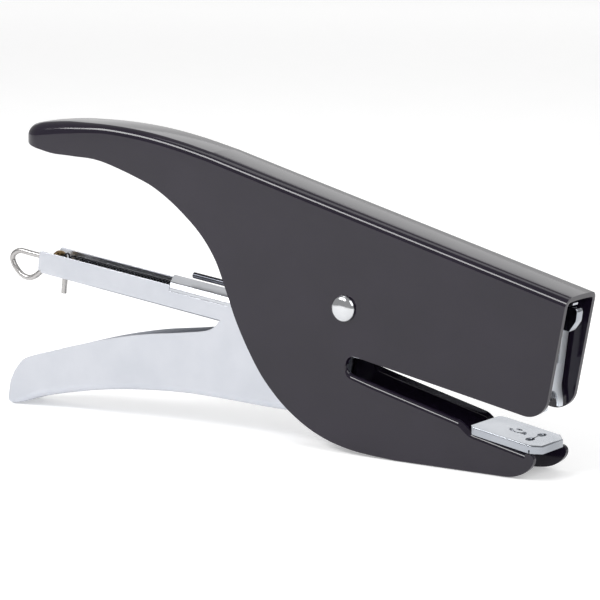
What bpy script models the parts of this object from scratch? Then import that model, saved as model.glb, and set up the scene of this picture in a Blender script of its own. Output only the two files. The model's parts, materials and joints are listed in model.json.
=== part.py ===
"""Plier stapler: folded steel body, squeeze lever, swinging magazine and driver.

Units are metres and +Z is up. +X points from the handles to the stapling head, and Y is the
width. The origin is the middle of the footprint, on the surface the stapler stands on. The
dimensions below are in millimetres, and MM turns them into metres.
Profiles are drawn in the X-Z plane from the pivot, the axis of the one large rivet. Pieces of
the magazine are drawn in its own frame: u runs along the channel to the nose and v is square
to it, also from the pivot.
"""
import math

import bmesh
import bpy
from mathutils import Matrix

MM = 0.001

# Place of the pivot above the footprint's middle
PIVOT_X = 27.55
PIVOT_Z = 39.2

# Gap left between pieces that touch
GAP = 0.3

# Width stack, as half widths across the stapler
BODY_HALF = 8.0
BODY_SHEET = 1.4
BODY_INNER = BODY_HALF - BODY_SHEET
LEVER_HALF = 6.1
LEVER_SHEET = 0.8
LEVER_INNER = LEVER_HALF - LEVER_SHEET
CHANNEL_HALF = 5.0
CHANNEL_SHEET = 0.6
CHANNEL_INNER = CHANNEL_HALF - CHANNEL_SHEET
ANVIL_HALF = 8.3
ANVIL_SHEET = 0.8

# Body
CREASE_RADIUS = 1.8
HANDLE_TIP_RADIUS = 8.0
HANDLE_TIP_CENTRE = -104.3
CHIN_RADIUS = 5.8
THROAT_RADIUS = 2.4
JAW_FLANGE = 1.0
PLAN_HALF = 20.0
PLAN_REACH = 60.0
SEAT_REAR = 37.7
SEAT_DEPTH = 0.8
TOP_SLOPE = -0.2706
TOP_AT_PIVOT = 26.87
JAW_SLOPE = -0.2535
JAW_AT_PIVOT = -17.0
JAW_BOTTOM = -39.2

# Anvil
ANVIL_REAR = 39.0
ANVIL_FRONT = 59.0
ANVIL_SLOPE = -0.175
ANVIL_TOP_AT_PIVOT = -20.225
ANVIL_WALL = 2.1
ANVIL_CHAMFER = 2.9
CLINCH_X = 54.0
CLINCH_Y = 3.2
CLINCH_LENGTH = 1.2
CLINCH_WIDTH = 2.6
CLINCH_DEPTH = 0.35

# Pivot
SHANK_RADIUS = 1.9
SLEEVE_RADIUS = 2.6
RIVET_HEAD_RADIUS = 3.6
RIVET_HEAD_HEIGHT = 1.7
PIVOT_HOLE = 2.9
BODY_HOLE = 2.1

# Magazine
MAGAZINE_TILT = math.radians(7.25)
FLOOR = -13.49
WALL_TOP = -6.97
SKIRT_SEAM = -8.6
CHANNEL_REAR = -107.0
CHANNEL_FRONT = 59.13
COVER_TOP = -6.1
COVER_REAR = -62.0
COVER_CAP_END = -10.0
COVER_FRONT = 57.9
EAR_RADIUS = 5.0
NOSE_BACK = 59.33
NOSE_SHEET = 0.8
NOSE_TOP = 6.4
NOSE_BOTTOM = -14.1
NOSE_WALL_START = 50.0

# Driver
BLADE_BACK = 58.45
BLADE_SHEET = 0.6
BLADE_HALF = 4.2
BLADE_BOTTOM = -7.0
BLADE_TOP = 13.3
TONGUE_TOP = 13.5
TONGUE_BOTTOM = 7.0
TONGUE_FRONT = 65.2
TONGUE_HALF = 1.45
TONGUE_CORNER = 1.5
BRIDGE_BOTTOM = 13.85
BRIDGE_TOP = 14.65
FINGER_HALF = 1.4
FINGER_END = 63.6
TONGUE_SLANT = [(65.2, 10.1), (63.6, 7.0)]
TONGUE_RIVET_RADIUS = 0.6
TONGUE_RIVET_V = 9.6
TONGUE_RIVET_FRONT = 61.6

# Guide rod, pusher, springs and staples
ROD_AXIS = -9.75
WIRE_RADIUS = 0.8
ROD_FRONT = 56.5
RING_RUN = [(-114.5, ROD_AXIS), (-118.1, -9.8), (-120.2, -11.0), (-120.8, -12.6), (-120.0, -14.3),
            (-118.3, -15.85), (-116.5, -16.85), (-114.7, -17.15), (-113.2, -16.85),
            (-111.5, -15.9), (-110.0, -14.5), (-108.4, -13.3), (-106.6, -12.9)]
LATCH_U = -100.7
LATCH_BOTTOM = -18.85
LATCH_RUN_V = -12.9
PUSHER_REAR = 24.4
PUSHER_FRONT = 31.6
COIL_OUTER = 2.85
COIL_INNER = 2.2
COLLAR_RADIUS = 3.0
COLLAR_FLAT = -11.95
COLLAR_REAR = -104.6
COLLAR_FRONT = -102.4
STRIP_REAR = 32.2
STRIP_FRONT = 58.2
STAPLE_HALF = 4.2
STAPLE_WIRE = 0.45
RETURN_WIRE = 0.875
RETURN_MEAN = 3.75
RETURN_TAIL_END = -55.2
RETURN_TURNS = 3.25
RETURN_PITCH = 1.9

CURVE_STEPS = 3
ROUND_SIDES = 24


def clear_scene():
    for item in list(bpy.data.objects):
        bpy.data.objects.remove(item, do_unlink=True)


def new_collection(name):
    group = bpy.data.collections.new(name)
    bpy.context.scene.collection.children.link(group)
    return group


def material(name, colour, roughness, metallic):
    made = bpy.data.materials.new(name)
    made.use_nodes = True
    shader = made.node_tree.nodes["Principled BSDF"]
    shader.inputs["Base Color"].default_value = (*colour, 1.0)
    shader.inputs["Roughness"].default_value = roughness
    shader.inputs["Metallic"].default_value = metallic
    return made


def frame_empty(name, tilt):
    """An empty on the pivot's axis, turned about it by the tilt."""
    empty = bpy.data.objects.new(name, None)
    empty.location = (PIVOT_X * MM, 0.0, PIVOT_Z * MM)
    empty.rotation_euler = (0.0, tilt, 0.0)
    PARTS.objects.link(empty)
    return empty


def add_object(name, mesh, parent, finish=None, group=None):
    made = bpy.data.objects.new(name, mesh)
    (group or PARTS).objects.link(made)
    made.parent = parent
    if finish is not None:
        mesh.materials.append(finish)
    return made


# Outlines

def spline(points, steps=CURVE_STEPS):
    """A smooth curve through the points, without its last point."""
    made = []
    last = len(points) - 1
    for index in range(last):
        before = points[max(index - 1, 0)]
        start = points[index]
        end = points[index + 1]
        after = points[min(index + 2, last)]
        for step in range(steps):
            t = step / steps
            made.append(tuple(
                0.5 * (2 * b + (c - a) * t + (2 * a - 5 * b + 4 * c - d) * t * t
                       + (3 * b - a - 3 * c + d) * t ** 3)
                for a, b, c, d in zip(before, start, end, after)))
    return made


def arc(centre, radius, start_deg, end_deg, steps=6):
    made = []
    for step in range(steps + 1):
        angle = math.radians(start_deg + (end_deg - start_deg) * step / steps)
        made.append((centre[0] + radius * math.cos(angle), centre[1] + radius * math.sin(angle)))
    return made


def fillet(before, corner, after, radius, steps=4):
    """The rounded corner between two straight edges."""
    to_before = (before[0] - corner[0], before[1] - corner[1])
    to_after = (after[0] - corner[0], after[1] - corner[1])
    length_b = math.hypot(*to_before)
    length_a = math.hypot(*to_after)
    unit_b = (to_before[0] / length_b, to_before[1] / length_b)
    unit_a = (to_after[0] / length_a, to_after[1] / length_a)
    half = 0.5 * math.acos(unit_b[0] * unit_a[0] + unit_b[1] * unit_a[1])
    reach = radius / math.tan(half)
    middle = (unit_b[0] + unit_a[0], unit_b[1] + unit_a[1])
    scale = radius / math.sin(half) / math.hypot(*middle)
    centre = (corner[0] + middle[0] * scale, corner[1] + middle[1] * scale)
    first = (corner[0] + unit_b[0] * reach, corner[1] + unit_b[1] * reach)
    final = (corner[0] + unit_a[0] * reach, corner[1] + unit_a[1] * reach)
    start = math.degrees(math.atan2(first[1] - centre[1], first[0] - centre[0]))
    end = math.degrees(math.atan2(final[1] - centre[1], final[0] - centre[0]))
    turn = (end - start + 180.0) % 360.0 - 180.0
    return arc(centre, radius, start, start + turn, steps)


def offset_run(points, distance):
    """The open run moved sideways, to the right of its direction."""
    made = []
    for index in range(len(points)):
        here = points[max(index - 1, 0)]
        there = points[min(index + 1, len(points) - 1)]
        along = (there[0] - here[0], there[1] - here[1])
        length = math.hypot(*along)
        made.append((points[index][0] + along[1] / length * distance,
                     points[index][1] - along[0] / length * distance))
    return made


# Solids

def sheet_mesh(name, outline, low_y, high_y):
    """A flat outline in X and Z, made solid between two places across the width."""
    curve = bpy.data.curves.new(name, "CURVE")
    curve.dimensions = "2D"
    curve.fill_mode = "BOTH"
    curve.extrude = 0.5 * (high_y - low_y) * MM
    run = curve.splines.new("POLY")
    run.points.add(len(outline) - 1)
    for point, (x, z) in zip(run.points, outline):
        point.co = (x * MM, z * MM, 0.0, 1.0)
    run.use_cyclic_u = True
    carrier = bpy.data.objects.new(name, curve)
    CUTTERS.objects.link(carrier)
    carrier.rotation_euler = (math.radians(90.0), 0.0, 0.0)
    carrier.location = (0.0, 0.5 * (low_y + high_y) * MM, 0.0)
    bpy.context.view_layer.update()
    depsgraph = bpy.context.evaluated_depsgraph_get()
    mesh = bpy.data.meshes.new_from_object(carrier.evaluated_get(depsgraph))
    mesh.transform(carrier.matrix_world)
    bpy.data.objects.remove(carrier, do_unlink=True)
    work = bmesh.new()
    work.from_mesh(mesh)
    bmesh.ops.remove_doubles(work, verts=work.verts, dist=0.00001)
    bmesh.ops.recalc_face_normals(work, faces=work.faces)
    work.to_mesh(mesh)
    work.free()
    mesh.name = name
    return mesh


def block_mesh(name, low, high):
    """A box between two corners, in millimetres."""
    work = bmesh.new()
    size = [(b - a) * MM for a, b in zip(low, high)]
    middle = [(a + b) * 0.5 * MM for a, b in zip(low, high)]
    bmesh.ops.create_cube(work, size=1.0, matrix=Matrix.LocRotScale(middle, None, size))
    mesh = bpy.data.meshes.new(name)
    work.to_mesh(mesh)
    work.free()
    return mesh


def pin_mesh(name, radius, low_y, high_y, centre=(0.0, 0.0), sides=ROUND_SIDES):
    """A round bar across the width."""
    work = bmesh.new()
    place = Matrix.Translation((centre[0] * MM, 0.5 * (low_y + high_y) * MM, centre[1] * MM))
    turn = Matrix.Rotation(math.radians(90.0), 4, "X")
    bmesh.ops.create_cone(work, cap_ends=True, segments=sides, radius1=radius * MM,
                          radius2=radius * MM, depth=(high_y - low_y) * MM, matrix=place @ turn)
    mesh = bpy.data.meshes.new(name)
    work.to_mesh(mesh)
    work.free()
    return mesh


def bar_mesh(name, radius, low_x, high_x, height, sides=16):
    """A round bar along the channel, at a height in the magazine's frame."""
    work = bmesh.new()
    place = Matrix.Translation((0.5 * (low_x + high_x) * MM, 0.0, height * MM))
    turn = Matrix.Rotation(math.radians(90.0), 4, "Y")
    bmesh.ops.create_cone(work, cap_ends=True, segments=sides, radius1=radius * MM,
                          radius2=radius * MM, depth=(high_x - low_x) * MM, matrix=place @ turn)
    mesh = bpy.data.meshes.new(name)
    work.to_mesh(mesh)
    work.free()
    return mesh


def combine(target, mesh, operation):
    """Cut the mesh out of the target, join it on, or keep only what both share."""
    tool = add_object(target.name + "_tool", mesh, target.parent, group=CUTTERS)
    tool.display_type = "WIRE"
    tool.hide_render = True
    change = target.modifiers.new(operation.title(), "BOOLEAN")
    change.operation = operation
    change.solver = "EXACT"
    change.object = tool


def cut(target, mesh):
    combine(target, mesh, "DIFFERENCE")


def wire(name, points, radius, parent, finish):
    """A round wire along a run of points in X, Y and Z."""
    curve = bpy.data.curves.new(name, "CURVE")
    curve.dimensions = "3D"
    curve.bevel_depth = radius * MM
    curve.bevel_resolution = 2
    curve.use_fill_caps = True
    run = curve.splines.new("POLY")
    run.points.add(len(points) - 1)
    for point, (x, y, z) in zip(run.points, points):
        point.co = (x * MM, y * MM, z * MM, 1.0)
    made = bpy.data.objects.new(name, curve)
    PARTS.objects.link(made)
    made.parent = parent
    curve.materials.append(finish)
    return made


def smooth(made):
    made.data.shade_smooth()
    made.data.set_sharp_from_angle(angle=math.radians(35.0))


# Body

def top_line(x):
    return TOP_AT_PIVOT + TOP_SLOPE * x


def jaw_top(x):
    return JAW_AT_PIVOT + JAW_SLOPE * x


def anvil_top(x):
    return ANVIL_TOP_AT_PIVOT + ANVIL_SLOPE * x


HANDLE_BACK = [(-112.3, 40.0), (-111.4, 41.8), (-108.6, 43.2), (-102.5, 44.4), (-92.0, 44.95),
               (-80.0, 44.6), (-67.6, 43.45), (-56.0, 41.5), (-44.0, 38.78)]
BODY_REAR = [(16.0, JAW_BOTTOM), (2.4, -38.1), (-8.5, -35.1), (-18.0, -29.6), (-25.8, -22.2),
             (-31.1, -14.5), (-35.3, -6.6), (-38.6, 1.4), (-42.1, 9.4), (-47.1, 16.2),
             (-53.9, 22.2), (-60.7, 26.8), (-67.6, 30.0), (-81.7, 34.3), (-92.0, 35.15),
             (-99.0, 35.5), (-105.3, 36.8), (-110.3, 38.3), (-112.3, 40.0)]
JAW_TIP = [(58.75, -33.7), (58.6, -35.1), (57.5, -36.6), (55.5, -38.0), (53.0, -38.85),
           (50.5, -39.15), (48.0, JAW_BOTTOM)]
HEAD_TOP_CORNER = (66.95, 8.75)
HEAD_LOW_CORNER = (60.42, -23.45)
THROAT_END_TOP = (0.5, -12.15)
THROAT_END_LOW = (0.6, -17.15)
JAW_STEP_TOP = (37.4, -26.48)
JAW_STEP_LOW = (38.0, -28.05)
JAW_NOSE = (56.8, -32.6)


def throat_end():
    """The blind end of the paper throat, from its upper edge round to the jaw."""
    upper = fillet(HEAD_LOW_CORNER, THROAT_END_TOP, THROAT_END_LOW, THROAT_RADIUS)
    lower = fillet(THROAT_END_TOP, THROAT_END_LOW, JAW_STEP_TOP, THROAT_RADIUS)
    return upper, lower


def body_outline():
    """The side view of the body, and the points of its two folded creases."""
    upper, lower = throat_end()
    back = spline(HANDLE_BACK) + [HANDLE_BACK[-1]]
    front = fillet(HANDLE_BACK[-1], HEAD_TOP_CORNER, HEAD_LOW_CORNER, 0.8, 3)
    chin = fillet(HEAD_TOP_CORNER, HEAD_LOW_CORNER, THROAT_END_TOP, CHIN_RADIUS)
    outline = back + front + chin + upper + lower + [JAW_STEP_TOP, JAW_STEP_LOW, JAW_NOSE]
    outline += JAW_TIP + spline(BODY_REAR)[1:]
    top_crease = [point for point in back if point[0] > HANDLE_TIP_CENTRE] + front[:1]
    return outline, (top_crease, lower + [JAW_STEP_TOP])


def body_cavity():
    """The space between the side plates, open at the front, rear and underside."""
    back = [(-110.9, 25.0)] + offset_run(spline(HANDLE_BACK)[1:], BODY_SHEET)
    drop = BODY_SHEET * math.hypot(1.0, TOP_SLOPE)
    front = [(75.0, top_line(75.0) - drop)]
    upper, lower = throat_end()
    above_jaw = [(75.0, -31.0), (60.0, -30.5), (36.6, jaw_top(36.6) + 1.0), (3.2, -15.4),
                 (1.9, -14.6)]
    web = [(-0.95, -14.6)] + offset_run(lower, BODY_SHEET)
    web += [(36.6, jaw_top(36.6) - 1.45), (37.2, -29.35), (56.4, -34.0), (57.6, -34.75),
            (75.0, -34.75)]
    outside = [(75.0, -50.0), (-60.0, -50.0), (-60.0, 0.0)]
    return back + front + above_jaw + web + outside


def handle_plan(half, tip_radius):
    """The round-ended plan of the upper handle, seen from above."""
    end = arc((HANDLE_TIP_CENTRE, 0.0), tip_radius, 90.0, 270.0, 12)
    return end + [(90.0, -half), (90.0, half)]


def plan_mesh(name, outline, low_z, high_z):
    mesh = sheet_mesh(name, outline, low_z, high_z)
    mesh.transform(Matrix.Rotation(math.radians(90.0), 4, "X"))
    return mesh


def body_shell(parent, finish):
    outline, creases = body_outline()
    mesh = sheet_mesh("body_shell", outline, -BODY_HALF, BODY_HALF)
    work = bmesh.new()
    work.from_mesh(mesh)

    def crease_of(vert):
        for index, crease in enumerate(creases):
            for x, z in crease:
                if math.hypot(vert.co.x / MM - x, vert.co.z / MM - z) < 0.01:
                    return index
        return None

    folds = [edge for edge in work.edges
             if abs(edge.verts[0].co.y - edge.verts[1].co.y) < 0.00001
             and edge.calc_face_angle(0.0) > 1.0
             and crease_of(edge.verts[0]) is not None
             and crease_of(edge.verts[0]) == crease_of(edge.verts[1])]
    bmesh.ops.bevel(work, geom=folds, offset=CREASE_RADIUS * MM, segments=2,
                    affect="EDGES", profile=0.5)
    work.to_mesh(mesh)
    work.free()
    shell = add_object("body_shell", mesh, parent, finish)
    combine(shell, plan_mesh("plan", handle_plan(PLAN_HALF, HANDLE_TIP_RADIUS),
                             -PLAN_REACH, PLAN_REACH),
            "INTERSECT")
    inside = sheet_mesh("inside", body_cavity(), -BODY_INNER, BODY_INNER)
    cut(shell, trimmed(inside, handle_plan(PLAN_HALF, BODY_INNER), -PLAN_REACH, PLAN_REACH))
    open_half = BODY_INNER - JAW_FLANGE
    throat = [(-3.0, -12.9), (2.5, -12.9), (36.0, jaw_top(36.0) + 2.0),
              (36.0, jaw_top(36.0) - 3.0), (-3.0, -21.0)]
    cut(shell, sheet_mesh("throat", throat, -open_half, open_half))
    cut(shell, pin_mesh("hole", BODY_HOLE, -10.0, 10.0))
    seat_floor = [(x, anvil_top(x) - ANVIL_WALL - GAP) for x in (SEAT_REAR, 63.0)]
    seat = [(SEAT_REAR, -22.0)] + seat_floor + [(63.0, -22.0)]
    step = BODY_HALF - SEAT_DEPTH
    cut(shell, sheet_mesh("seat_near", seat, -BODY_HALF - 1.0, -step))
    cut(shell, sheet_mesh("seat_far", seat, step, BODY_HALF + 1.0))
    return shell


def anvil_plate(parent, finish):
    outer = [(ANVIL_REAR, anvil_top(ANVIL_REAR)), (ANVIL_FRONT, anvil_top(ANVIL_FRONT)),
             (ANVIL_FRONT, anvil_top(ANVIL_FRONT) - ANVIL_WALL),
             (ANVIL_REAR, anvil_top(ANVIL_REAR) - ANVIL_WALL)]
    plate = add_object("anvil_plate",
                       sheet_mesh("anvil_plate", outer, -ANVIL_HALF, ANVIL_HALF), parent, finish)
    back = ANVIL_FRONT - ANVIL_SHEET
    hollow = [(30.0, anvil_top(30.0) - ANVIL_SHEET), (back, anvil_top(back) - ANVIL_SHEET),
              (back, -45.0), (30.0, -45.0)]
    corner = ANVIL_HALF - ANVIL_CHAMFER
    plan = [(30.0, -ANVIL_HALF - 1.0), (56.0, -ANVIL_HALF - 0.2), (60.0, 0.9 - corner),
            (60.0, corner - 0.9), (56.0, ANVIL_HALF + 0.2), (30.0, ANVIL_HALF + 1.0)]
    combine(plate, plan_mesh("anvil_plan", plan, -50.0, 0.0), "INTERSECT")
    inner = ANVIL_HALF - ANVIL_SHEET
    inner_corner = corner - 1.6
    inner_plan = [(25.0, -inner), (55.2, -inner), (58.2, -inner_corner), (58.2, inner_corner),
                  (55.2, inner), (25.0, inner)]
    hollow_tool = sheet_mesh("hollow", hollow, -inner, inner)
    cut(plate, trimmed(hollow_tool, inner_plan, -50.0, 0.0))
    for side in (-1.0, 1.0):
        middle = side * CLINCH_Y
        top = anvil_top(CLINCH_X)
        low = (CLINCH_X - 0.5 * CLINCH_LENGTH, middle - 0.5 * CLINCH_WIDTH, top - CLINCH_DEPTH)
        high = (CLINCH_X + 0.5 * CLINCH_LENGTH, middle + 0.5 * CLINCH_WIDTH, top + 1.0)
        cut(plate, block_mesh("clinch", low, high))
    return plate


def trimmed(mesh, plan, low_z, high_z):
    """The mesh cut down to a plan outline, as a new mesh."""
    raw = bpy.data.objects.new("raw", mesh)
    CUTTERS.objects.link(raw)
    shape = bpy.data.objects.new("shape", plan_mesh("shape", plan, low_z, high_z))
    CUTTERS.objects.link(shape)
    change = raw.modifiers.new("Trim", "BOOLEAN")
    change.operation = "INTERSECT"
    change.object = shape
    bpy.context.view_layer.update()
    depsgraph = bpy.context.evaluated_depsgraph_get()
    made = bpy.data.meshes.new_from_object(raw.evaluated_get(depsgraph))
    bpy.data.objects.remove(raw, do_unlink=True)
    bpy.data.objects.remove(shape, do_unlink=True)
    return made


# Pivot

def turned(name, profile, parent, finish):
    """A profile of radius and place across the width, turned about the pivot's axis."""
    work = bmesh.new()
    verts = [work.verts.new((radius * MM, 0.0, place * MM)) for radius, place in profile]
    for first, second in zip(verts, verts[1:]):
        work.edges.new((first, second))
    mesh = bpy.data.meshes.new(name)
    work.to_mesh(mesh)
    work.free()
    made = add_object(name, mesh, parent, finish)
    made.rotation_euler = (math.radians(90.0), 0.0, 0.0)
    screw = made.modifiers.new("Turn", "SCREW")
    screw.angle = math.tau
    screw.steps = ROUND_SIDES
    screw.render_steps = ROUND_SIDES
    screw.use_merge_vertices = True
    screw.merge_threshold = 0.00001
    screw.use_smooth_shade = True
    return made


def pivot_rivet(parent, finish):
    """One solid rivet: a shank with a domed head formed at each end."""
    seat = BODY_HALF + 0.15
    dome = []
    for step in range(5):
        angle = math.radians(90.0 - 22.5 * step)
        dome.append((RIVET_HEAD_RADIUS * math.cos(angle),
                     seat + RIVET_HEAD_HEIGHT * math.sin(angle)))
    half = [(0.0, seat + RIVET_HEAD_HEIGHT)] + dome[1:] + [(SHANK_RADIUS, seat)]
    profile = half + [(radius, -place) for radius, place in reversed(half)]
    return turned("pivot_rivet", profile, parent, finish)


def ring(name, inner, outer, low, high, parent, finish):
    profile = [(inner, high), (outer, high), (outer, low), (inner, low), (inner, high)]
    return turned(name, profile, parent, finish)


# Lever

LEVER_BACK = [(59.0, 7.3), (40.0, 8.2), (0.0, 9.0), (-20.0, 8.2), (-33.0, 4.0), (-38.6, -2.5),
              (-42.2, -7.6), (-46.0, -10.6), (-55.5, -12.3), (-69.5, -14.2), (-84.0, -17.2),
              (-98.7, -21.2), (-110.0, -24.4), (-113.6, -26.3), (-116.3, -29.4), (-118.1, -32.6),
              (-119.3, -37.0)]
LEVER_UNDER = [(-119.1, -38.5), (-118.2, -39.13), (-116.2, -39.13), (-113.0, -38.3),
               (-106.0, -36.1), (-95.0, -33.75), (-84.0, -31.85), (-70.0, -30.35),
               (-55.6, -29.6), (-41.8, -29.85), (-28.3, -30.4), (-17.0, -30.6)]
LEVER_THROAT = [(-10.0, -27.0), (-6.5, -20.0), (-5.0, -11.8), (2.0, -8.6), (20.0, -6.0),
                (59.0, -1.5)]
LEVER_WEB_FRONT = -20.0


def squeeze_lever(parent, finish):
    under = spline(LEVER_UNDER) + LEVER_UNDER[-1:]
    outline = spline(LEVER_BACK[1:]) + under + LEVER_THROAT + LEVER_BACK[:1]
    mesh = sheet_mesh("squeeze_lever", outline, -LEVER_HALF, LEVER_HALF)
    lever = add_object("squeeze_lever", mesh, parent, finish)
    web = [point for point in under if point[0] < LEVER_WEB_FRONT]
    tip_wall = [(-117.1, -32.4), (-118.15, -37.0)]
    inside = tip_wall + offset_run(web, -1.0)[2:]
    inside += [(LEVER_WEB_FRONT, -45.0), (70.0, -45.0), (70.0, 20.0), (-125.0, 20.0),
               (-125.0, -32.4)]
    cut(lever, sheet_mesh("inside", inside, -LEVER_INNER, LEVER_INNER))
    cut(lever, pin_mesh("hole", PIVOT_HOLE, -10.0, 10.0))
    bridge = [(50.0, -LEVER_HALF), (58.2, -LEVER_HALF), (59.6, -FINGER_HALF),
              (FINGER_END, -FINGER_HALF), (FINGER_END, FINGER_HALF), (59.6, FINGER_HALF),
              (58.2, LEVER_HALF), (50.0, LEVER_HALF)]
    plate = plan_mesh("bridge", bridge, BRIDGE_BOTTOM, BRIDGE_TOP)
    plate.transform(Matrix.Rotation(MAGAZINE_TILT, 4, "Y"))
    combine(lever, plate, "UNION")
    return lever


# Magazine

def magazine_channel(parent, finish):
    ear = arc((0.0, 0.0), EAR_RADIUS, 170.0, 10.0, 10)
    outline = [(CHANNEL_REAR, WALL_TOP), (COVER_REAR - 0.2, WALL_TOP),
               (COVER_REAR - 0.2, SKIRT_SEAM), (COVER_CAP_END + 0.2, SKIRT_SEAM),
               (COVER_CAP_END + 0.2, WALL_TOP), (-8.0, WALL_TOP + 0.3)]
    outline += ear
    outline += [(8.0, WALL_TOP + 0.3), (9.5, WALL_TOP), (NOSE_WALL_START - 4.0, WALL_TOP),
                (NOSE_WALL_START, NOSE_TOP), (CHANNEL_FRONT, NOSE_TOP), (CHANNEL_FRONT, FLOOR)]
    outline += fillet((0.0, FLOOR), (CHANNEL_REAR, FLOOR), (CHANNEL_REAR, 0.0), 1.0, 3)
    channel = add_object("magazine_channel",
                         sheet_mesh("magazine_channel", outline, -CHANNEL_HALF, CHANNEL_HALF),
                         parent, finish)
    floor_top = FLOOR + CHANNEL_SHEET
    inside = [(-110.0, floor_top), (STRIP_FRONT, floor_top), (STRIP_FRONT, -17.0),
              (65.0, -17.0), (65.0, 12.0), (-110.0, 12.0)]
    cut(channel, sheet_mesh("inside", inside, -CHANNEL_INNER, CHANNEL_INNER))
    cut(channel, pin_mesh("hole", PIVOT_HOLE, -8.0, 8.0))
    cut(channel, block_mesh("latch_slot", (-110.0, -1.1, -15.0), (-99.4, 1.1, -12.0)))
    return channel


def magazine_cover(parent, finish):
    """A cap flush with the channel's walls, and its narrower run on to the nose."""
    shoulder = 1.2
    section = [(-CHANNEL_HALF, SKIRT_SEAM + 0.2), (-CHANNEL_HALF, COVER_TOP - shoulder),
               (-CHANNEL_HALF + shoulder, COVER_TOP), (CHANNEL_HALF - shoulder, COVER_TOP),
               (CHANNEL_HALF, COVER_TOP - shoulder), (CHANNEL_HALF, SKIRT_SEAM + 0.2),
               (CHANNEL_INNER, SKIRT_SEAM + 0.2), (CHANNEL_INNER, COVER_TOP - shoulder - 0.2),
               (CHANNEL_INNER - 0.8, COVER_TOP - CHANNEL_SHEET),
               (0.8 - CHANNEL_INNER, COVER_TOP - CHANNEL_SHEET),
               (-CHANNEL_INNER, COVER_TOP - shoulder - 0.2), (-CHANNEL_INNER, SKIRT_SEAM + 0.2)]
    mesh = sheet_mesh("magazine_cover", section, COVER_REAR, COVER_CAP_END)
    mesh.transform(Matrix.Rotation(math.radians(-90.0), 4, "Z"))
    cover = add_object("magazine_cover", mesh, parent, finish)
    combine(cover, block_mesh("run", (COVER_CAP_END - 2.0, 0.2 - CHANNEL_INNER,
                                      COVER_TOP - CHANNEL_SHEET),
                              (COVER_FRONT, CHANNEL_INNER - 0.2, COVER_TOP)), "UNION")
    return cover


def nose_plate(parent, finish):
    front = NOSE_BACK + NOSE_SHEET
    outline = [(front, NOSE_TOP), (front, -9.0), (front + 1.1, NOSE_BOTTOM),
               (NOSE_BACK + 1.1, NOSE_BOTTOM), (NOSE_BACK, -9.0), (NOSE_BACK, NOSE_TOP)]
    plate = add_object("nose_plate", sheet_mesh("nose_plate", outline, -CHANNEL_HALF,
                                                CHANNEL_HALF), parent, finish)
    cut(plate, block_mesh("slot", (57.0, -1.6, -2.4), (63.0, 1.6, 12.0)))
    notch = arc((0.0, 0.0), 2.6, 0.0, 180.0, 12)
    arch = [(y, -14.3 + 1.7 * z) for y, z in notch] + [(-2.6, -17.0), (2.6, -17.0)]
    mesh = sheet_mesh("arch", arch, 57.0, 65.0)
    mesh.transform(Matrix.Rotation(math.radians(-90.0), 4, "Z"))
    cut(plate, mesh)
    return plate


def staple_strip(parent, finish):
    legs_low = FLOOR + CHANNEL_SHEET + 0.2
    crown_top = -7.3
    strip = add_object("staple_strip",
                       block_mesh("staple_strip", (STRIP_REAR, -STAPLE_HALF, legs_low),
                                  (STRIP_FRONT, STAPLE_HALF, crown_top)), parent, finish)
    cut(strip, block_mesh("under", (STRIP_REAR - 1.0, STAPLE_WIRE - STAPLE_HALF, legs_low - 1.0),
                          (STRIP_FRONT + 1.0, STAPLE_HALF - STAPLE_WIRE,
                           crown_top - STAPLE_WIRE)))
    return strip


def return_spring(parent, finish):
    """A coil round the sleeve, with a long tail over the magazine and a leg to the body's top."""
    half_width = 0.5 * RETURN_TURNS * RETURN_PITCH
    points = [(RETURN_TAIL_END, 0.0, -RETURN_MEAN), (-22.0, 0.0, -RETURN_MEAN),
              (-12.0, 0.4 * half_width, -RETURN_MEAN), (-4.0, 0.95 * half_width, -RETURN_MEAN)]
    steps = int(RETURN_TURNS * 14)
    for step in range(steps + 1):
        share = step / steps
        angle = -0.5 * math.pi + share * RETURN_TURNS * math.tau
        points.append((RETURN_MEAN * math.cos(angle), half_width * (1.0 - 2.0 * share),
                       RETURN_MEAN * math.sin(angle)))
    points += [(RETURN_MEAN + 0.1, -half_width, 8.0), (RETURN_MEAN - 2.5, -half_width, 22.0)]
    return wire("return_spring", points, RETURN_WIRE, parent, finish)


# Driver

def driver_blade(parent, finish):
    blade = add_object("driver_blade",
                       block_mesh("driver_blade", (BLADE_BACK, -BLADE_HALF, BLADE_BOTTOM),
                                  (BLADE_BACK + BLADE_SHEET, BLADE_HALF, BLADE_TOP)),
                       parent, finish)
    cut(blade, bar_mesh("hole", TONGUE_RIVET_RADIUS + GAP, BLADE_BACK - 1.0, BLADE_BACK + 2.0,
                        TONGUE_RIVET_V))
    return blade


def tongue_rivet(parent, finish):
    """The small rivet that holds the tongue on the blade, its head behind the blade."""
    end = BLADE_BACK - GAP
    rivet = add_object("tongue_rivet",
                       bar_mesh("tongue_rivet", TONGUE_RIVET_RADIUS, end - 0.3,
                                TONGUE_RIVET_FRONT, TONGUE_RIVET_V), parent, finish)
    combine(rivet, bar_mesh("head", 2.0 * TONGUE_RIVET_RADIUS, end - 0.5, end,
                            TONGUE_RIVET_V), "UNION")
    return rivet


def driver_tongue(parent, finish):
    back = BLADE_BACK + BLADE_SHEET + 0.15
    outline = [(back, TONGUE_TOP)]
    outline += fillet((back, TONGUE_TOP), (TONGUE_FRONT, TONGUE_TOP), TONGUE_SLANT[0],
                      TONGUE_CORNER)
    outline += TONGUE_SLANT + [(back, TONGUE_BOTTOM)]
    tongue = add_object("driver_tongue",
                        sheet_mesh("driver_tongue", outline, -TONGUE_HALF, TONGUE_HALF),
                        parent, finish)
    cut(tongue, bar_mesh("hole", TONGUE_RIVET_RADIUS + GAP, back - 1.0,
                         TONGUE_RIVET_FRONT + GAP, TONGUE_RIVET_V))
    return tongue


# Rod and pusher

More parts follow.
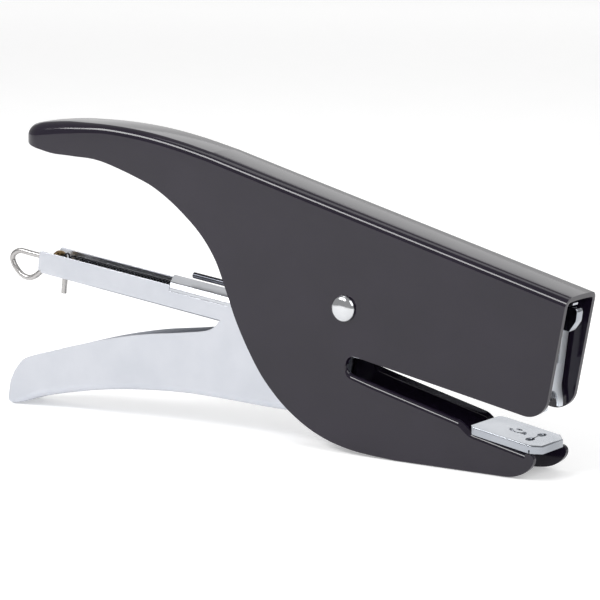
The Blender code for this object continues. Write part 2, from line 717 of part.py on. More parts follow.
def guide_rod(parent, finish):
    """The straight rod, its finger ring, and the tail that bends down as a latch pin."""
    points = [(ROD_FRONT, 0.0, ROD_AXIS), (-60.0, 0.0, ROD_AXIS)]
    points += [(u, 0.0, v) for u, v in spline(RING_RUN) + RING_RUN[-1:]]
    points += [(LATCH_U - 0.9, 0.0, LATCH_RUN_V),
               (LATCH_U - 0.25, 0.0, LATCH_RUN_V - 0.25), (LATCH_U, 0.0, LATCH_RUN_V - 0.9),
               (LATCH_U, 0.0, LATCH_BOTTOM)]
    return wire("guide_rod", points, WIRE_RADIUS, parent, finish)


def tube(name, inner, outer, low, high, parent, finish):
    made = add_object(name, bar_mesh(name, outer, low, high, ROD_AXIS), parent, finish)
    cut(made, bar_mesh("bore", inner, low - 1.0, high + 1.0, ROD_AXIS))
    return made


def staple_pusher(parent, finish):
    low = FLOOR + CHANNEL_SHEET + 0.3
    pusher = add_object("staple_pusher",
                        block_mesh("staple_pusher", (PUSHER_REAR, -4.1, low),
                                   (PUSHER_FRONT, 4.1, -7.3)), parent, finish)
    cut(pusher, bar_mesh("bore", WIRE_RADIUS + 0.2, PUSHER_REAR - 1.0, PUSHER_FRONT + 1.0,
                         ROD_AXIS))
    return pusher


clear_scene()
PARTS = new_collection("plier_stapler")
CUTTERS = new_collection("cutters")


def build():
    black = material("black_enamel", (0.030, 0.029, 0.033), 0.22, 0.0)
    nickel = material("nickel_plate", (0.80, 0.81, 0.84), 0.18, 1.0)
    bright = material("bright_steel", (0.72, 0.73, 0.75), 0.25, 1.0)
    dark = material("dark_spring_steel", (0.05, 0.05, 0.055), 0.35, 1.0)
    brass = material("brass", (0.62, 0.45, 0.20), 0.35, 1.0)
    body = frame_empty("body_frame", 0.0)
    lever = frame_empty("lever_frame", 0.0)
    magazine = frame_empty("magazine_frame", MAGAZINE_TILT)
    body_shell(body, black)
    anvil_plate(body, nickel)
    pivot_rivet(body, nickel)
    ring("pivot_sleeve", SHANK_RADIUS + 0.2, SLEEVE_RADIUS, -6.45, 6.45, body, bright)
    ring("washer_near", SLEEVE_RADIUS + 0.2, 4.6, 6.2, 6.45, body, bright)
    ring("washer_far", SLEEVE_RADIUS + 0.2, 4.6, -6.45, -6.2, body, bright)
    squeeze_lever(lever, nickel)
    magazine_channel(magazine, nickel)
    magazine_cover(magazine, nickel)
    nose_plate(magazine, nickel)
    staple_strip(magazine, bright)
    return_spring(magazine, dark)
    driver_blade(magazine, bright)
    driver_tongue(magazine, nickel)
    tongue_rivet(magazine, bright)
    guide_rod(magazine, nickel)
    collar = tube("rod_collar", WIRE_RADIUS + 0.15, COLLAR_RADIUS, COLLAR_REAR, COLLAR_FRONT,
                  magazine, brass)
    cut(collar, block_mesh("flat", (COLLAR_REAR - 1.0, -5.0, -15.0),
                           (COLLAR_FRONT + 1.0, 5.0, COLLAR_FLAT)))
    tube("rod_end_washer", WIRE_RADIUS + 0.15, 1.9, 55.4, 56.2, magazine, brass)
    tube("pusher_spring", COIL_INNER, COIL_OUTER, -99.2, PUSHER_REAR - 0.3, magazine, dark)
    staple_pusher(magazine, bright)
    for made in PARTS.objects:
        if made.type == "MESH" and not made.name.startswith("pivot"):
            smooth(made)


build()
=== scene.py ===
"""Plier stapler: the finished looks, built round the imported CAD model.

Shapes are drawn in millimetres from the pivot, the axis of the one large rivet: x runs to the
head, y across the width and z up. Pieces of the magazine are drawn in its own tilted frame, u
along the channel and v square to it, as their x and z.
"""
import json
import math

import bmesh
import bpy
from mathutils import Matrix, Vector


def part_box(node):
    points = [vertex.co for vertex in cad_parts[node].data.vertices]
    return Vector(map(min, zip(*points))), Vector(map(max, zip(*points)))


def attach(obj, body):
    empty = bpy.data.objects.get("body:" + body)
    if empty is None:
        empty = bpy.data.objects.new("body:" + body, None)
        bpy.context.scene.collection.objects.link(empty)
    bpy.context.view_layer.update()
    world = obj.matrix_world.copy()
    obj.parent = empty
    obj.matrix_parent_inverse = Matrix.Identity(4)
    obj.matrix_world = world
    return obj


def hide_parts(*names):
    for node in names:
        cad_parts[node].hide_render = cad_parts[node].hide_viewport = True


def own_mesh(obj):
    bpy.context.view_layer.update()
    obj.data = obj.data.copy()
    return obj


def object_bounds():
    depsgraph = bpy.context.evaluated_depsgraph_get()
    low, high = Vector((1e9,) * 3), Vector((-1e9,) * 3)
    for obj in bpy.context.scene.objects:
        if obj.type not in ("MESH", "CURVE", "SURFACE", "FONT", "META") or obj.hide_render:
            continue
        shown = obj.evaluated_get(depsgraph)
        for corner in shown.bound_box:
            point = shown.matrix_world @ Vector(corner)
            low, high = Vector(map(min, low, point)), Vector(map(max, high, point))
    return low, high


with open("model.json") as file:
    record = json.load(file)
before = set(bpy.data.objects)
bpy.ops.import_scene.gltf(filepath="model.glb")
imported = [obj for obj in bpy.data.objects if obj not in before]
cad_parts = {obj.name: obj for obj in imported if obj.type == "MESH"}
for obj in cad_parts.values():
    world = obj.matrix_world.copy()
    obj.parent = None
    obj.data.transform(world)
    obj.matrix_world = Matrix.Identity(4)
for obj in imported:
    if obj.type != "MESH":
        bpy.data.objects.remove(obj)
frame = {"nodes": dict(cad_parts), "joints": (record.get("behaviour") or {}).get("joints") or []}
CAD_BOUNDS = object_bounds()

MM = 0.001


def joint(name):
    """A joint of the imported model, by its name."""
    return next(item for item in frame["joints"] if item["name"] == name)


def half_width(node):
    """Half the width of a CAD node, in millimetres."""
    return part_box(node)[1].y / MM


# Driving dimensions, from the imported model
PIVOT = Vector(joint("lever_squeeze")["pos_m"])
CHANNEL_WAY = -Vector(joint("rod_pull")["axis"])
TILT = math.atan2(-CHANNEL_WAY.z, CHANNEL_WAY.x)
BODY_HALF = half_width("body_shell")
LEVER_HALF = half_width("squeeze_lever")
CHANNEL_HALF = half_width("magazine_channel")
ANVIL_HALF = half_width("anvil_plate")
BODY_FRAME = Matrix.Translation(PIVOT) @ Matrix.Scale(MM, 4)
MAGAZINE_FRAME = Matrix.Translation(PIVOT) @ Matrix.Rotation(TILT, 4, "Y") @ Matrix.Scale(MM, 4)

# Sheet thicknesses and corner sizes, in millimetres
BODY_SHEET = 1.4
BODY_FOLD = 2.3
JAW_FOLD = 1.8
LEVER_SHEET = 0.8
CHANNEL_SHEET = 0.6
ANVIL_SHEET = 0.8

# Lines of the body
TOP_SLOPE = -0.2706
TOP_AT_PIVOT = 26.87
JAW_SLOPE = -0.2535
JAW_AT_PIVOT = -17.0
JAW_BOTTOM = -39.2
ANVIL_SLOPE = -0.175
ANVIL_TOP_AT_PIVOT = -20.225
HANDLE_TIP_CENTRE = -104.3

# Magazine
CHANNEL_FLOOR = -13.49
WALL_TOP = -6.97
ROD_AXIS = -9.75


# Helpers for outlines

def spline(points, steps=8):
    """A smooth curve through the points."""
    made = []
    last = len(points) - 1
    for index in range(last):
        before = points[max(index - 1, 0)]
        start = points[index]
        end = points[index + 1]
        after = points[min(index + 2, last)]
        for step in range(steps):
            t = step / steps
            made.append(tuple(
                0.5 * (2 * b + (c - a) * t + (2 * a - 5 * b + 4 * c - d) * t * t
                       + (3 * b - a - 3 * c + d) * t ** 3)
                for a, b, c, d in zip(before, start, end, after)))
    return made + [tuple(points[-1])]


def arc(centre, radius, start_deg, end_deg, steps=12):
    """Points along a circle, from one angle to another."""
    made = []
    for step in range(steps + 1):
        angle = math.radians(start_deg + (end_deg - start_deg) * step / steps)
        made.append((centre[0] + radius * math.cos(angle), centre[1] + radius * math.sin(angle)))
    return made


def fillet(before, corner, after, radius, steps=10):
    """The rounded corner between two straight edges."""
    back = (Vector(before) - Vector(corner)).normalized()
    on = (Vector(after) - Vector(corner)).normalized()
    half = 0.5 * back.angle(on)
    centre = Vector(corner) + (back + on).normalized() * radius / math.sin(half)
    first = Vector(corner) + back * radius / math.tan(half) - centre
    final = Vector(corner) + on * radius / math.tan(half) - centre
    start = math.degrees(math.atan2(first.y, first.x))
    end = math.degrees(math.atan2(final.y, final.x))
    turn = (end - start + 180.0) % 360.0 - 180.0
    return arc(centre, radius, start, start + turn, steps)


def inward(points, side):
    """Unit normals of a run, to the right of it for side 1 and to the left for side -1."""
    made = []
    for index in range(len(points)):
        here = Vector(points[max(index - 1, 0)])
        there = Vector(points[min(index + 1, len(points) - 1)])
        along = (there - here).normalized()
        made.append(Vector((along.y, -along.x)) * side)
    return made


def smooth_step(value):
    """A soft change from 0 to 1 as the value does the same."""
    value = min(max(value, 0.0), 1.0)
    return value * value * (3.0 - 2.0 * value)


# Helpers for meshes

# Cutting tools reach this far past what they cut
BEYOND = 5.0


def finish_mesh(name, work, matrix, body, replaced, look):
    """Turn a bmesh in millimetres into a piece in place, riding on its body."""
    mesh = bpy.data.meshes.new(name)
    work.to_mesh(mesh)
    work.free()
    mesh.transform(matrix)
    for face in mesh.polygons:
        face.use_smooth = True
    piece = bpy.data.objects.new(name, mesh)
    bpy.context.scene.collection.objects.link(piece)
    mesh.materials.append(look)
    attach(piece, body)
    if replaced:
        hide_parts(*replaced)
    return piece


def solidify(piece, thickness):
    """Give the surface its sheet's thickness, on the inner side."""
    change = piece.modifiers.new("Sheet", "SOLIDIFY")
    change.thickness = thickness * MM
    change.offset = -1.0
    change.use_even_offset = True
    change.use_quality_normals = True


def soften(piece, width, segments=2, angle=50.0):
    """Break the sharp edges and keep the flats flat."""
    change = piece.modifiers.new("Edges", "BEVEL")
    change.width = width * MM
    change.segments = segments
    change.limit_method = "ANGLE"
    change.angle_limit = math.radians(angle)
    change.harden_normals = False
    change.miter_outer = "MITER_ARC"
    weigh = piece.modifiers.new("Normals", "WEIGHTED_NORMAL")
    weigh.keep_sharp = False
    weigh.weight = 90


# Faces larger than this many square millimetres are flats, and so are faces level with them
FLAT_AREA = 20.0
SAME_WAY = 0.9999


def keep_corners(piece, angle):
    """Leave corners above the angle crisp, and keep the flats flat."""
    bake_modifiers(piece)
    piece.data.set_sharp_from_angle(angle=math.radians(angle))
    work = bmesh.new()
    work.from_mesh(piece.data)
    flats = [face.normal.copy() for face in work.faces
             if face.calc_area() > FLAT_AREA * MM * MM]
    for face in work.faces:
        if any(face.normal.dot(way) > SAME_WAY for way in flats):
            face.smooth = False
    work.to_mesh(piece.data)
    work.free()
    weigh = piece.modifiers.new("Normals", "WEIGHTED_NORMAL")
    weigh.keep_sharp = True
    weigh.weight = 100


def cut(piece, work, matrix):
    """Cut a bmesh in millimetres out of the piece."""
    mesh = bpy.data.meshes.new("tool")
    work.to_mesh(mesh)
    work.free()
    mesh.transform(matrix)
    tool = bpy.data.objects.new("tool", mesh)
    bpy.context.scene.collection.objects.link(tool)
    change = piece.modifiers.new("Cut", "BOOLEAN")
    change.operation = "DIFFERENCE"
    change.solver = "EXACT"
    change.object = tool
    bake_modifiers(piece)
    bpy.data.objects.remove(tool, do_unlink=True)


def bake_modifiers(piece):
    """Replace the piece's mesh with what its modifiers make of it."""
    bpy.context.view_layer.update()
    graph = bpy.context.evaluated_depsgraph_get()
    mesh = bpy.data.meshes.new_from_object(piece.evaluated_get(graph))
    piece.modifiers.clear()
    piece.data = mesh


def box_outline(left, right, low, high):
    """The four corners of a rectangle."""
    return [(left, low), (right, low), (right, high), (left, high)]


def slab(outline, low_y, high_y):
    """A flat outline in x and z, made solid across the width, as a bmesh."""
    work = bmesh.new()
    near = [work.verts.new((x, low_y, z)) for x, z in outline]
    far = [work.verts.new((x, high_y, z)) for x, z in outline]
    work.faces.new(near)
    work.faces.new(list(reversed(far)))
    count = len(outline)
    for index in range(count):
        following = (index + 1) % count
        work.faces.new((near[following], near[index], far[index], far[following]))
    bmesh.ops.recalc_face_normals(work, faces=work.faces)
    return work


def plan_slab(outline, low_z, high_z):
    """A flat outline in x and y, made solid over a height, as a bmesh."""
    work = slab(outline, low_z, high_z)
    for vert in work.verts:
        vert.co = Vector((vert.co.x, vert.co.z, vert.co.y))
    bmesh.ops.recalc_face_normals(work, faces=work.faces)
    return work


def across_slab(outline, low_x, high_x):
    """A flat outline in y and z, made solid along x, as a bmesh."""
    work = slab(outline, low_x, high_x)
    for vert in work.verts:
        vert.co = Vector((vert.co.y, vert.co.x, vert.co.z))
    bmesh.ops.recalc_face_normals(work, faces=work.faces)
    return work


def rod_tool(radius, start, end):
    """A round bar between two points, as a bmesh."""
    work = bmesh.new()
    way = Vector(end) - Vector(start)
    turn = way.to_track_quat("Z", "Y").to_matrix().to_4x4()
    place = Matrix.Translation((Vector(start) + Vector(end)) * 0.5) @ turn
    bmesh.ops.create_cone(work, cap_ends=True, segments=32, radius1=radius, radius2=radius,
                          depth=way.length, matrix=place)
    return work


def fold_strip(work, path, side, half, radii, crown=0.0, steps=8, across=4):
    """A folded web along a path: a flat between two rounded corners.

    radii is one corner radius, or a list with one for each point of the path. The side says
    which way the corners turn. Returns the near and the far edge, which lie on the side plates.
    """
    normals = inward(path, side)
    rows = []
    for index, (x, z) in enumerate(path):
        radius = radii[index] if isinstance(radii, list) else radii
        section = []
        for step in range(steps + 1):
            angle = 0.5 * math.pi * step / steps
            section.append((-half + radius * (1.0 - math.cos(angle)),
                            radius * (1.0 - math.sin(angle))))
        flat = half - radius
        for step in range(1, across):
            section.append((-flat + 2.0 * flat * step / across, 0.0))
        section += [(-y, depth) for y, depth in reversed(section[:steps + 1])]
        row = []
        for y, depth in section:
            sink = depth + crown * (y / half) ** 2
            place = Vector((x, z)) + normals[index] * sink
            row.append(work.verts.new((place.x, y, place.y)))
        rows.append(row)
    for row, following in zip(rows, rows[1:]):
        for index in range(len(row) - 1):
            work.faces.new((row[index], row[index + 1], following[index + 1], following[index]))
    return [row[0] for row in rows], [row[-1] for row in rows]


def face_out(work, direction):
    """Turn the open sheet so that its outermost face looks in the direction."""
    bmesh.ops.recalc_face_normals(work, faces=work.faces)
    way = Vector(direction)
    probe = max(work.faces, key=lambda face: face.calc_center_median().dot(way))
    if probe.normal.dot(way) < 0.0:
        bmesh.ops.reverse_faces(work, faces=work.faces)


def lathe(name, profile, body, replaced, look, sides=64, matrix=BODY_FRAME):
    """A profile of (radius, place) pairs, turned about the y axis of the matrix."""
    work = bmesh.new()
    rings = []
    for radius, place in profile:
        if radius < 1e-6:
            rings.append([work.verts.new((0.0, place, 0.0))])
            continue
        rings.append([work.verts.new((radius * math.cos(math.tau * side / sides), place,
                                      radius * math.sin(math.tau * side / sides)))
                      for side in range(sides)])
    for one, two in zip(rings, rings[1:]):
        for side in range(sides):
            following = (side + 1) % sides
            corners = [one[side % len(one)], one[following % len(one)],
                       two[following % len(two)], two[side % len(two)]]
            unique = list(dict.fromkeys(corners))
            if len(unique) > 2:
                work.faces.new(unique)
    bmesh.ops.recalc_face_normals(work, faces=work.faces)
    return finish_mesh(name, work, matrix, body, replaced, look)


def wire(name, points, radius, body, replaced, look, matrix=MAGAZINE_FRAME, sides=3):
    """A round wire along points in millimetres, as a capped curve."""
    curve = bpy.data.curves.new(name, "CURVE")
    curve.dimensions = "3D"
    curve.bevel_depth = radius * MM
    curve.bevel_resolution = sides
    curve.use_fill_caps = True
    run = curve.splines.new("POLY")
    run.points.add(len(points) - 1)
    for point, place in zip(run.points, points):
        point.co = (*(matrix @ Vector(place)), 1.0)
    run.use_smooth = True
    piece = bpy.data.objects.new(name, curve)
    bpy.context.scene.collection.objects.link(piece)
    curve.materials.append(look)
    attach(piece, body)
    if replaced:
        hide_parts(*replaced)
    return piece


# Materials

def noise(nodes, scale, detail, stretch=(1.0, 1.0, 1.0)):
    """A noise texture in the object's own metres, stretched along chosen axes."""
    place = nodes.new("ShaderNodeTexCoord")
    mapping = nodes.new("ShaderNodeMapping")
    mapping.inputs["Scale"].default_value = stretch
    made = nodes.new("ShaderNodeTexNoise")
    made.inputs["Scale"].default_value = scale
    made.inputs["Detail"].default_value = detail
    links = nodes.id_data.links
    links.new(place.outputs["Object"], mapping.inputs["Vector"])
    links.new(mapping.outputs["Vector"], made.inputs["Vector"])
    return made


def ramp(nodes, source, low, high, first=0.35, last=0.65):
    """Map a texture's value between two colours."""
    made = nodes.new("ShaderNodeValToRGB")
    made.color_ramp.elements[0].position = first
    made.color_ramp.elements[1].position = last
    made.color_ramp.elements[0].color = (*low, 1.0)
    made.color_ramp.elements[1].color = (*high, 1.0)
    nodes.id_data.links.new(source, made.inputs["Fac"])
    return made


def spread(nodes, source, low, high):
    """Map a texture's value to a range of numbers."""
    made = nodes.new("ShaderNodeMapRange")
    made.inputs["From Min"].default_value = 0.3
    made.inputs["From Max"].default_value = 0.7
    made.inputs["To Min"].default_value = low
    made.inputs["To Max"].default_value = high
    nodes.id_data.links.new(source, made.inputs["Value"])
    return made


def bump(nodes, shader, source, strength, depth_mm):
    """Raise the surface by a texture's value."""
    made = nodes.new("ShaderNodeBump")
    made.inputs["Strength"].default_value = strength
    made.inputs["Distance"].default_value = depth_mm * MM
    links = nodes.id_data.links
    links.new(source, made.inputs["Height"])
    links.new(made.outputs["Normal"], shader.inputs["Normal"])


def new_material(name, metallic):
    """A new material with its nodes and its shader."""
    made = bpy.data.materials.new(name)
    made.use_nodes = True
    shader = made.node_tree.nodes["Principled BSDF"]
    shader.inputs["Metallic"].default_value = metallic
    return made, made.node_tree.nodes, shader


def enamel_material():
    """Glossy black stove enamel: faint orange peel, and a slow change of gloss."""
    made, nodes, shader = new_material("black_enamel", 0.0)
    tone = noise(nodes, 60.0, 3.0)
    colours = ramp(nodes, tone.outputs["Fac"], (0.0082, 0.0056, 0.0132), (0.0112, 0.0079, 0.0170))
    gloss = noise(nodes, 140.0, 4.0)
    rough = spread(nodes, gloss.outputs["Fac"], 0.07, 0.12)
    peel = noise(nodes, 620.0, 2.0)
    links = made.node_tree.links
    links.new(colours.outputs["Color"], shader.inputs["Base Color"])
    links.new(rough.outputs["Result"], shader.inputs["Roughness"])
    shader.inputs["IOR"].default_value = 1.46
    bump(nodes, shader, peel.outputs["Fac"], 0.10, 0.015)
    return made


def metal_material(name, dark, light, smooth_value, rough_value, stretch, grain, depth_mm):
    """Plated or bare metal: drawing lines along the piece, and a slow change of tone."""
    made, nodes, shader = new_material(name, 1.0)
    tone = noise(nodes, 90.0, 3.0)
    colours = ramp(nodes, tone.outputs["Fac"], dark, light)
    lines = noise(nodes, grain, 3.0, stretch)
    rough = spread(nodes, lines.outputs["Fac"], smooth_value, rough_value)
    links = made.node_tree.links
    links.new(colours.outputs["Color"], shader.inputs["Base Color"])
    links.new(rough.outputs["Result"], shader.inputs["Roughness"])
    bump(nodes, shader, lines.outputs["Fac"], 0.15, depth_mm)
    return made


LENGTHWISE = (0.12, 1.0, 1.0)
EVEN = (1.0, 1.0, 1.0)
ENAMEL = enamel_material()
NICKEL = metal_material("nickel_plate", (0.530, 0.548, 0.592), (0.565, 0.580, 0.622),
                        0.28, 0.34, LENGTHWISE, 2600.0, 0.002)
POLISHED = metal_material("polished_nickel", (0.56, 0.57, 0.59), (0.61, 0.62, 0.635),
                          0.09, 0.14, EVEN, 1400.0, 0.001)
CHROME = metal_material("bright_chrome", (0.34, 0.36, 0.395), (0.40, 0.42, 0.455),
                        0.12, 0.18, EVEN, 1400.0, 0.001)
SATIN = metal_material("satin_zinc", (0.66, 0.69, 0.73), (0.74, 0.765, 0.80),
                       0.42, 0.50, EVEN, 1400.0, 0.002)
WIRE = metal_material("zinc_wire", (0.40, 0.39, 0.385), (0.50, 0.49, 0.485),
                      0.24, 0.36, EVEN, 1200.0, 0.002)
LID = metal_material("satin_nickel", (0.545, 0.560, 0.595), (0.580, 0.595, 0.628),
                     0.38, 0.44, LENGTHWISE, 2600.0, 0.002)
STEEL = metal_material("bright_steel", (0.46, 0.47, 0.49), (0.56, 0.57, 0.59),
                       0.20, 0.32, LENGTHWISE, 2200.0, 0.003)
SPRING = metal_material("dark_spring_steel", (0.045, 0.048, 0.058), (0.085, 0.088, 0.102),
                        0.14, 0.24, EVEN, 1800.0, 0.002)
BRASS = metal_material("dark_brass", (0.20, 0.125, 0.055), (0.34, 0.23, 0.11),
                       0.20, 0.34, EVEN, 1500.0, 0.002)


# Body: the first point of the top run only sets its direction at the handle's tip

TOP_RUN = [(-109.0, 43.4), (HANDLE_TIP_CENTRE, 44.25), (-98.0, 44.82), (-92.0, 44.93),
           (-80.0, 44.68), (-67.6, 43.53), (-56.0, 41.56), (-44.0, 38.83)]
HANDLE_UNDER = 36.5
REAR_RUN = [(16.0, JAW_BOTTOM), (2.4, -38.1), (-8.5, -35.1), (-18.0, -29.6), (-25.8, -22.2),
            (-31.1, -14.5), (-35.3, -6.6), (-38.6, 1.4), (-42.1, 9.4), (-47.1, 16.2),
            (-53.9, 22.2), (-60.7, 26.8), (-67.6, 30.0), (-81.7, 34.3), (-92.0, 35.15),
            (-99.0, 35.5), (HANDLE_TIP_CENTRE, HANDLE_UNDER)]
JAW_TIP = [(56.4, -32.4), (57.9, -32.6), (58.75, -33.5), (58.7, -34.9), (57.6, -36.5),
           (55.6, -37.95), (53.2, -38.8), (50.6, -39.15), (48.0, JAW_BOTTOM)]
HEAD_TOP_CORNER = (66.78, 8.80)
HEAD_LOW_CORNER = (60.4, -23.8)
CHIN_RADIUS = 5.8
THROAT_END_TOP = (0.5, -12.15)
THROAT_END_LOW = (0.6, -17.15)
THROAT_RADIUS = 2.4
TOP_CROWN = 0.35

# The jaw's edge steps down between these two places, and its web then runs on under the anvil
JAW_STEP = (35.4, 40.0)
JAW_WEB_LOW = -28.9
JAW_WEB_END = (55.4, -32.3)

# The fold is rounder along the handle, and tighter again round its tip
HANDLE_FOLD = 3.6
NOSE_FOLD = 2.7
HANDLE_FOLD_FROM = -78.0
HANDLE_FOLD_RUN = 24.0

# Beyond its centre the tip closes: its top and its underside leave their heights there by
# slope * reach + curve * reach ** 2
TIP_TOP_SLOPE = -0.145
TIP_TOP_CURVE = -0.0095
TIP_UNDER_SLOPE = 0.19
TIP_UNDER_CURVE = 0.011

# The throat's rolled flanges: their fold grows from a share of its radius over a drop, and the
# web between them is left open as far as the anvil
ROLL_SHARE = 0.6
ROLL_START = 0.25
ROLL_DROP = 3.2

# The jaw's far tip reaches further than the near one
TIP_SKEW = 0.75
TIP_SHIFT = -0.35
TIP_SKEW_FROM = 48.0
TIP_SKEW_RUN = 7.0


def jaw_line(x):
    """Height of the throat's lower edge."""
    return JAW_AT_PIVOT + JAW_SLOPE * x


def anvil_line(x):
    """Height of the anvil's top."""
    return ANVIL_TOP_AT_PIVOT + ANVIL_SLOPE * x


def jaw_web_path():
    """From the middle of the throat's blind end, down and along the jaw, and under the anvil."""
    start, end = JAW_STEP
    path = fillet(THROAT_END_TOP, THROAT_END_LOW, (start, jaw_line(start)), THROAT_RADIUS)
    path += [(x, jaw_line(x)) for x in (8.0, 16.0, 24.0, start - 1.0)]
    run_on = (JAW_WEB_END[1] - JAW_WEB_LOW) / (JAW_WEB_END[0] - end)
    for step in range(9):
        share = step / 8
        x = start + (end - start) * share
        above = jaw_line(x)
        below = JAW_WEB_LOW + run_on * (x - end)
        path.append((x, above + (below - above) * smooth_step(share)))
    return path + [(0.5 * (end + JAW_WEB_END[0]), 0.5 * (JAW_WEB_LOW + JAW_WEB_END[1])),
                   JAW_WEB_END]


def nose_cap(work, first_row, columns=24, steps=8):
    """The round, dished end of the handle, joined to the first row of the top web."""
    middle = len(first_row) // 2
    pole = first_row[middle]
    runs = []
    bottoms = []
    for column in range(columns + 1):
        turn = math.radians(270.0 - 180.0 * column / columns)
        tip_share = smooth_step(-math.cos(turn))
        radius = HANDLE_FOLD + (NOSE_FOLD - HANDLE_FOLD) * tip_share
        reach = BODY_HALF * -math.cos(turn)
        bottom_z = HANDLE_UNDER + TIP_UNDER_SLOPE * reach + TIP_UNDER_CURVE * reach ** 2
        bottoms.append(work.verts.new((HANDLE_TIP_CENTRE - reach, BODY_HALF * math.sin(turn),
                                       bottom_z)))
        if column in (0, columns):
            half_row = first_row[:middle] if column == 0 else first_row[:middle:-1]
            runs.append(list(half_row))
            continue
        run = []
        for index in range(middle):
            if index <= steps:
                angle = 0.5 * math.pi * index / steps
                out = BODY_HALF - radius * (1.0 - math.cos(angle))
                depth = radius * (1.0 - math.sin(angle))
            else:
                out = (BODY_HALF - radius) * (middle - index) / (middle - steps)
                depth = 0.0
            away = -out * math.cos(turn)
            top = TOP_RUN[1][1] + TIP_TOP_SLOPE * away + TIP_TOP_CURVE * away ** 2
            sink = depth + TOP_CROWN * (out / BODY_HALF) ** 2
            run.append(work.verts.new((HANDLE_TIP_CENTRE - away, out * math.sin(turn),
                                       top - sink)))
        runs.append(run)
    for column in range(columns):
        one, two = runs[column], runs[column + 1]
        work.faces.new((bottoms[column], one[0], two[0], bottoms[column + 1]))
        for index in range(middle - 1):
            work.faces.new((one[index], one[index + 1], two[index + 1], two[index]))
        work.faces.new((one[-1], pole, two[-1]))
    return bottoms[0], bottoms[-1]


def body_shell():
    """One folded sheet: handle, head, side plates, throat and jaw."""
    work = bmesh.new()
    top = [point for point in spline(TOP_RUN) if point[0] >= HANDLE_TIP_CENTRE]
    top += [(x, TOP_AT_PIVOT + TOP_SLOPE * x) for x in (-20.0, 5.0, 30.0, 50.0)]
    top.append(HEAD_TOP_CORNER)
    before = len(work.verts)
    radii = [BODY_FOLD + (HANDLE_FOLD - BODY_FOLD)
             * smooth_step((HANDLE_FOLD_FROM - x) / HANDLE_FOLD_RUN) for x, z in top]
    radii[0] = HANDLE_FOLD
    near_top, far_top = fold_strip(work, top, 1, BODY_HALF, radii, TOP_CROWN)
    work.verts.ensure_lookup_table()
    row_length = (len(work.verts) - before) // len(top)
    first_row = [work.verts[before + index] for index in range(row_length)]
    near_low, far_low = nose_cap(work, first_row)
    before = len(work.faces)
    path = jaw_web_path()
    rolled = [JAW_FOLD * (ROLL_START + (1.0 - ROLL_START)
                          * smooth_step((path[0][1] - z) / ROLL_DROP)) for x, z in path]
    near_jaw, far_jaw = fold_strip(work, path, 1, BODY_HALF, rolled)
    work.faces.ensure_lookup_table()
    inside = BODY_HALF - JAW_FOLD * ROLL_SHARE
    open_faces = [face for face in work.faces[before:]
                  if abs(face.calc_center_median().y) < inside
                  and face.calc_center_median().x < JAW_STEP[1]]
    bmesh.ops.delete(work, geom=open_faces, context="FACES")
    chin = fillet(HEAD_TOP_CORNER, HEAD_LOW_CORNER, THROAT_END_TOP, CHIN_RADIUS)
    upper = fillet(HEAD_LOW_CORNER, THROAT_END_TOP, THROAT_END_LOW, THROAT_RADIUS)
    rear = spline(REAR_RUN)[:-1]
    for low, top_edge, jaw_edge, y in ((near_low, near_top, near_jaw, -BODY_HALF),
                                       (far_low, far_top, far_jaw, BODY_HALF)):
        made = [low] + top_edge
        made += [work.verts.new((x, y, z)) for x, z in chin + upper]
        made += jaw_edge
        skew = TIP_SHIFT + TIP_SKEW * y / BODY_HALF
        made += [work.verts.new((x + skew * smooth_step((x - TIP_SKEW_FROM) / TIP_SKEW_RUN),
                                 y, z)) for x, z in spline(JAW_TIP, 4)]
        made += [work.verts.new((x, y, z)) for x, z in rear]
        work.faces.new(made)
    face_out(work, (0.0, 0.0, 1.0))
    shell = finish_mesh("body", work, BODY_FRAME, "frame", ["body_shell"], ENAMEL)
    solidify(shell, BODY_SHEET)
    bake_modifiers(shell)
    soften(shell, 0.4, 3)


# Anvil

ANVIL_REAR = 39.0
ANVIL_FRONT = 59.0
ANVIL_WALL = 2.1
ANVIL_EDGE = 0.35
NEAR_CORNER = 1.2
FAR_CORNER = 2.4

# The front corners are cut off: this much along the anvil, and this much across it
CHAMFER_RUN = 2.3
CHAMFER = 2.9

# A slit in the near wall where the sheet's folds meet, measured back from the front
SLIT_REAR = 2.65
SLIT_FRONT = 2.25
SLIT_TOP = 0.75
SLIT_REACH = 1.3

# Two clinching pits with a groove between them, and a small crescent of pits with a dot
CLINCH_X = 54.0
CLINCH_Y = 3.1
CLINCH_SIZE = (1.0, 1.9, 0.6)
GROOVE_HALF = 0.15
GROOVE_DEPTH = 0.6
GROOVE_REACH = 1.6
MARK_X = 48.6
MARK_Y = 0.6
MARK_RADII = (2.0, 1.9)
MARK_PIT = (0.6, 0.42, 0.4)
DOT_X = 48.3
DOT_Y = 1.5
DOT_PIT = (0.9, 0.7, 0.55)


def pit_tool(x, y, along, across, depth):
    """An egg-shaped pit tool centred on the anvil's top."""
    pit = bmesh.new()
    bmesh.ops.create_uvsphere(pit, u_segments=24, v_segments=12, radius=1.0)
    for vert in pit.verts:
        vert.co = Vector((x + vert.co.x * along, y + vert.co.y * across,
                          anvil_line(x) + vert.co.z * depth))
    return pit


def lay_on_anvil_line(work):
    """Shear a level bmesh so that its zero height follows the anvil's top."""
    for vert in work.verts:
        vert.co.z += anvil_line(vert.co.x)


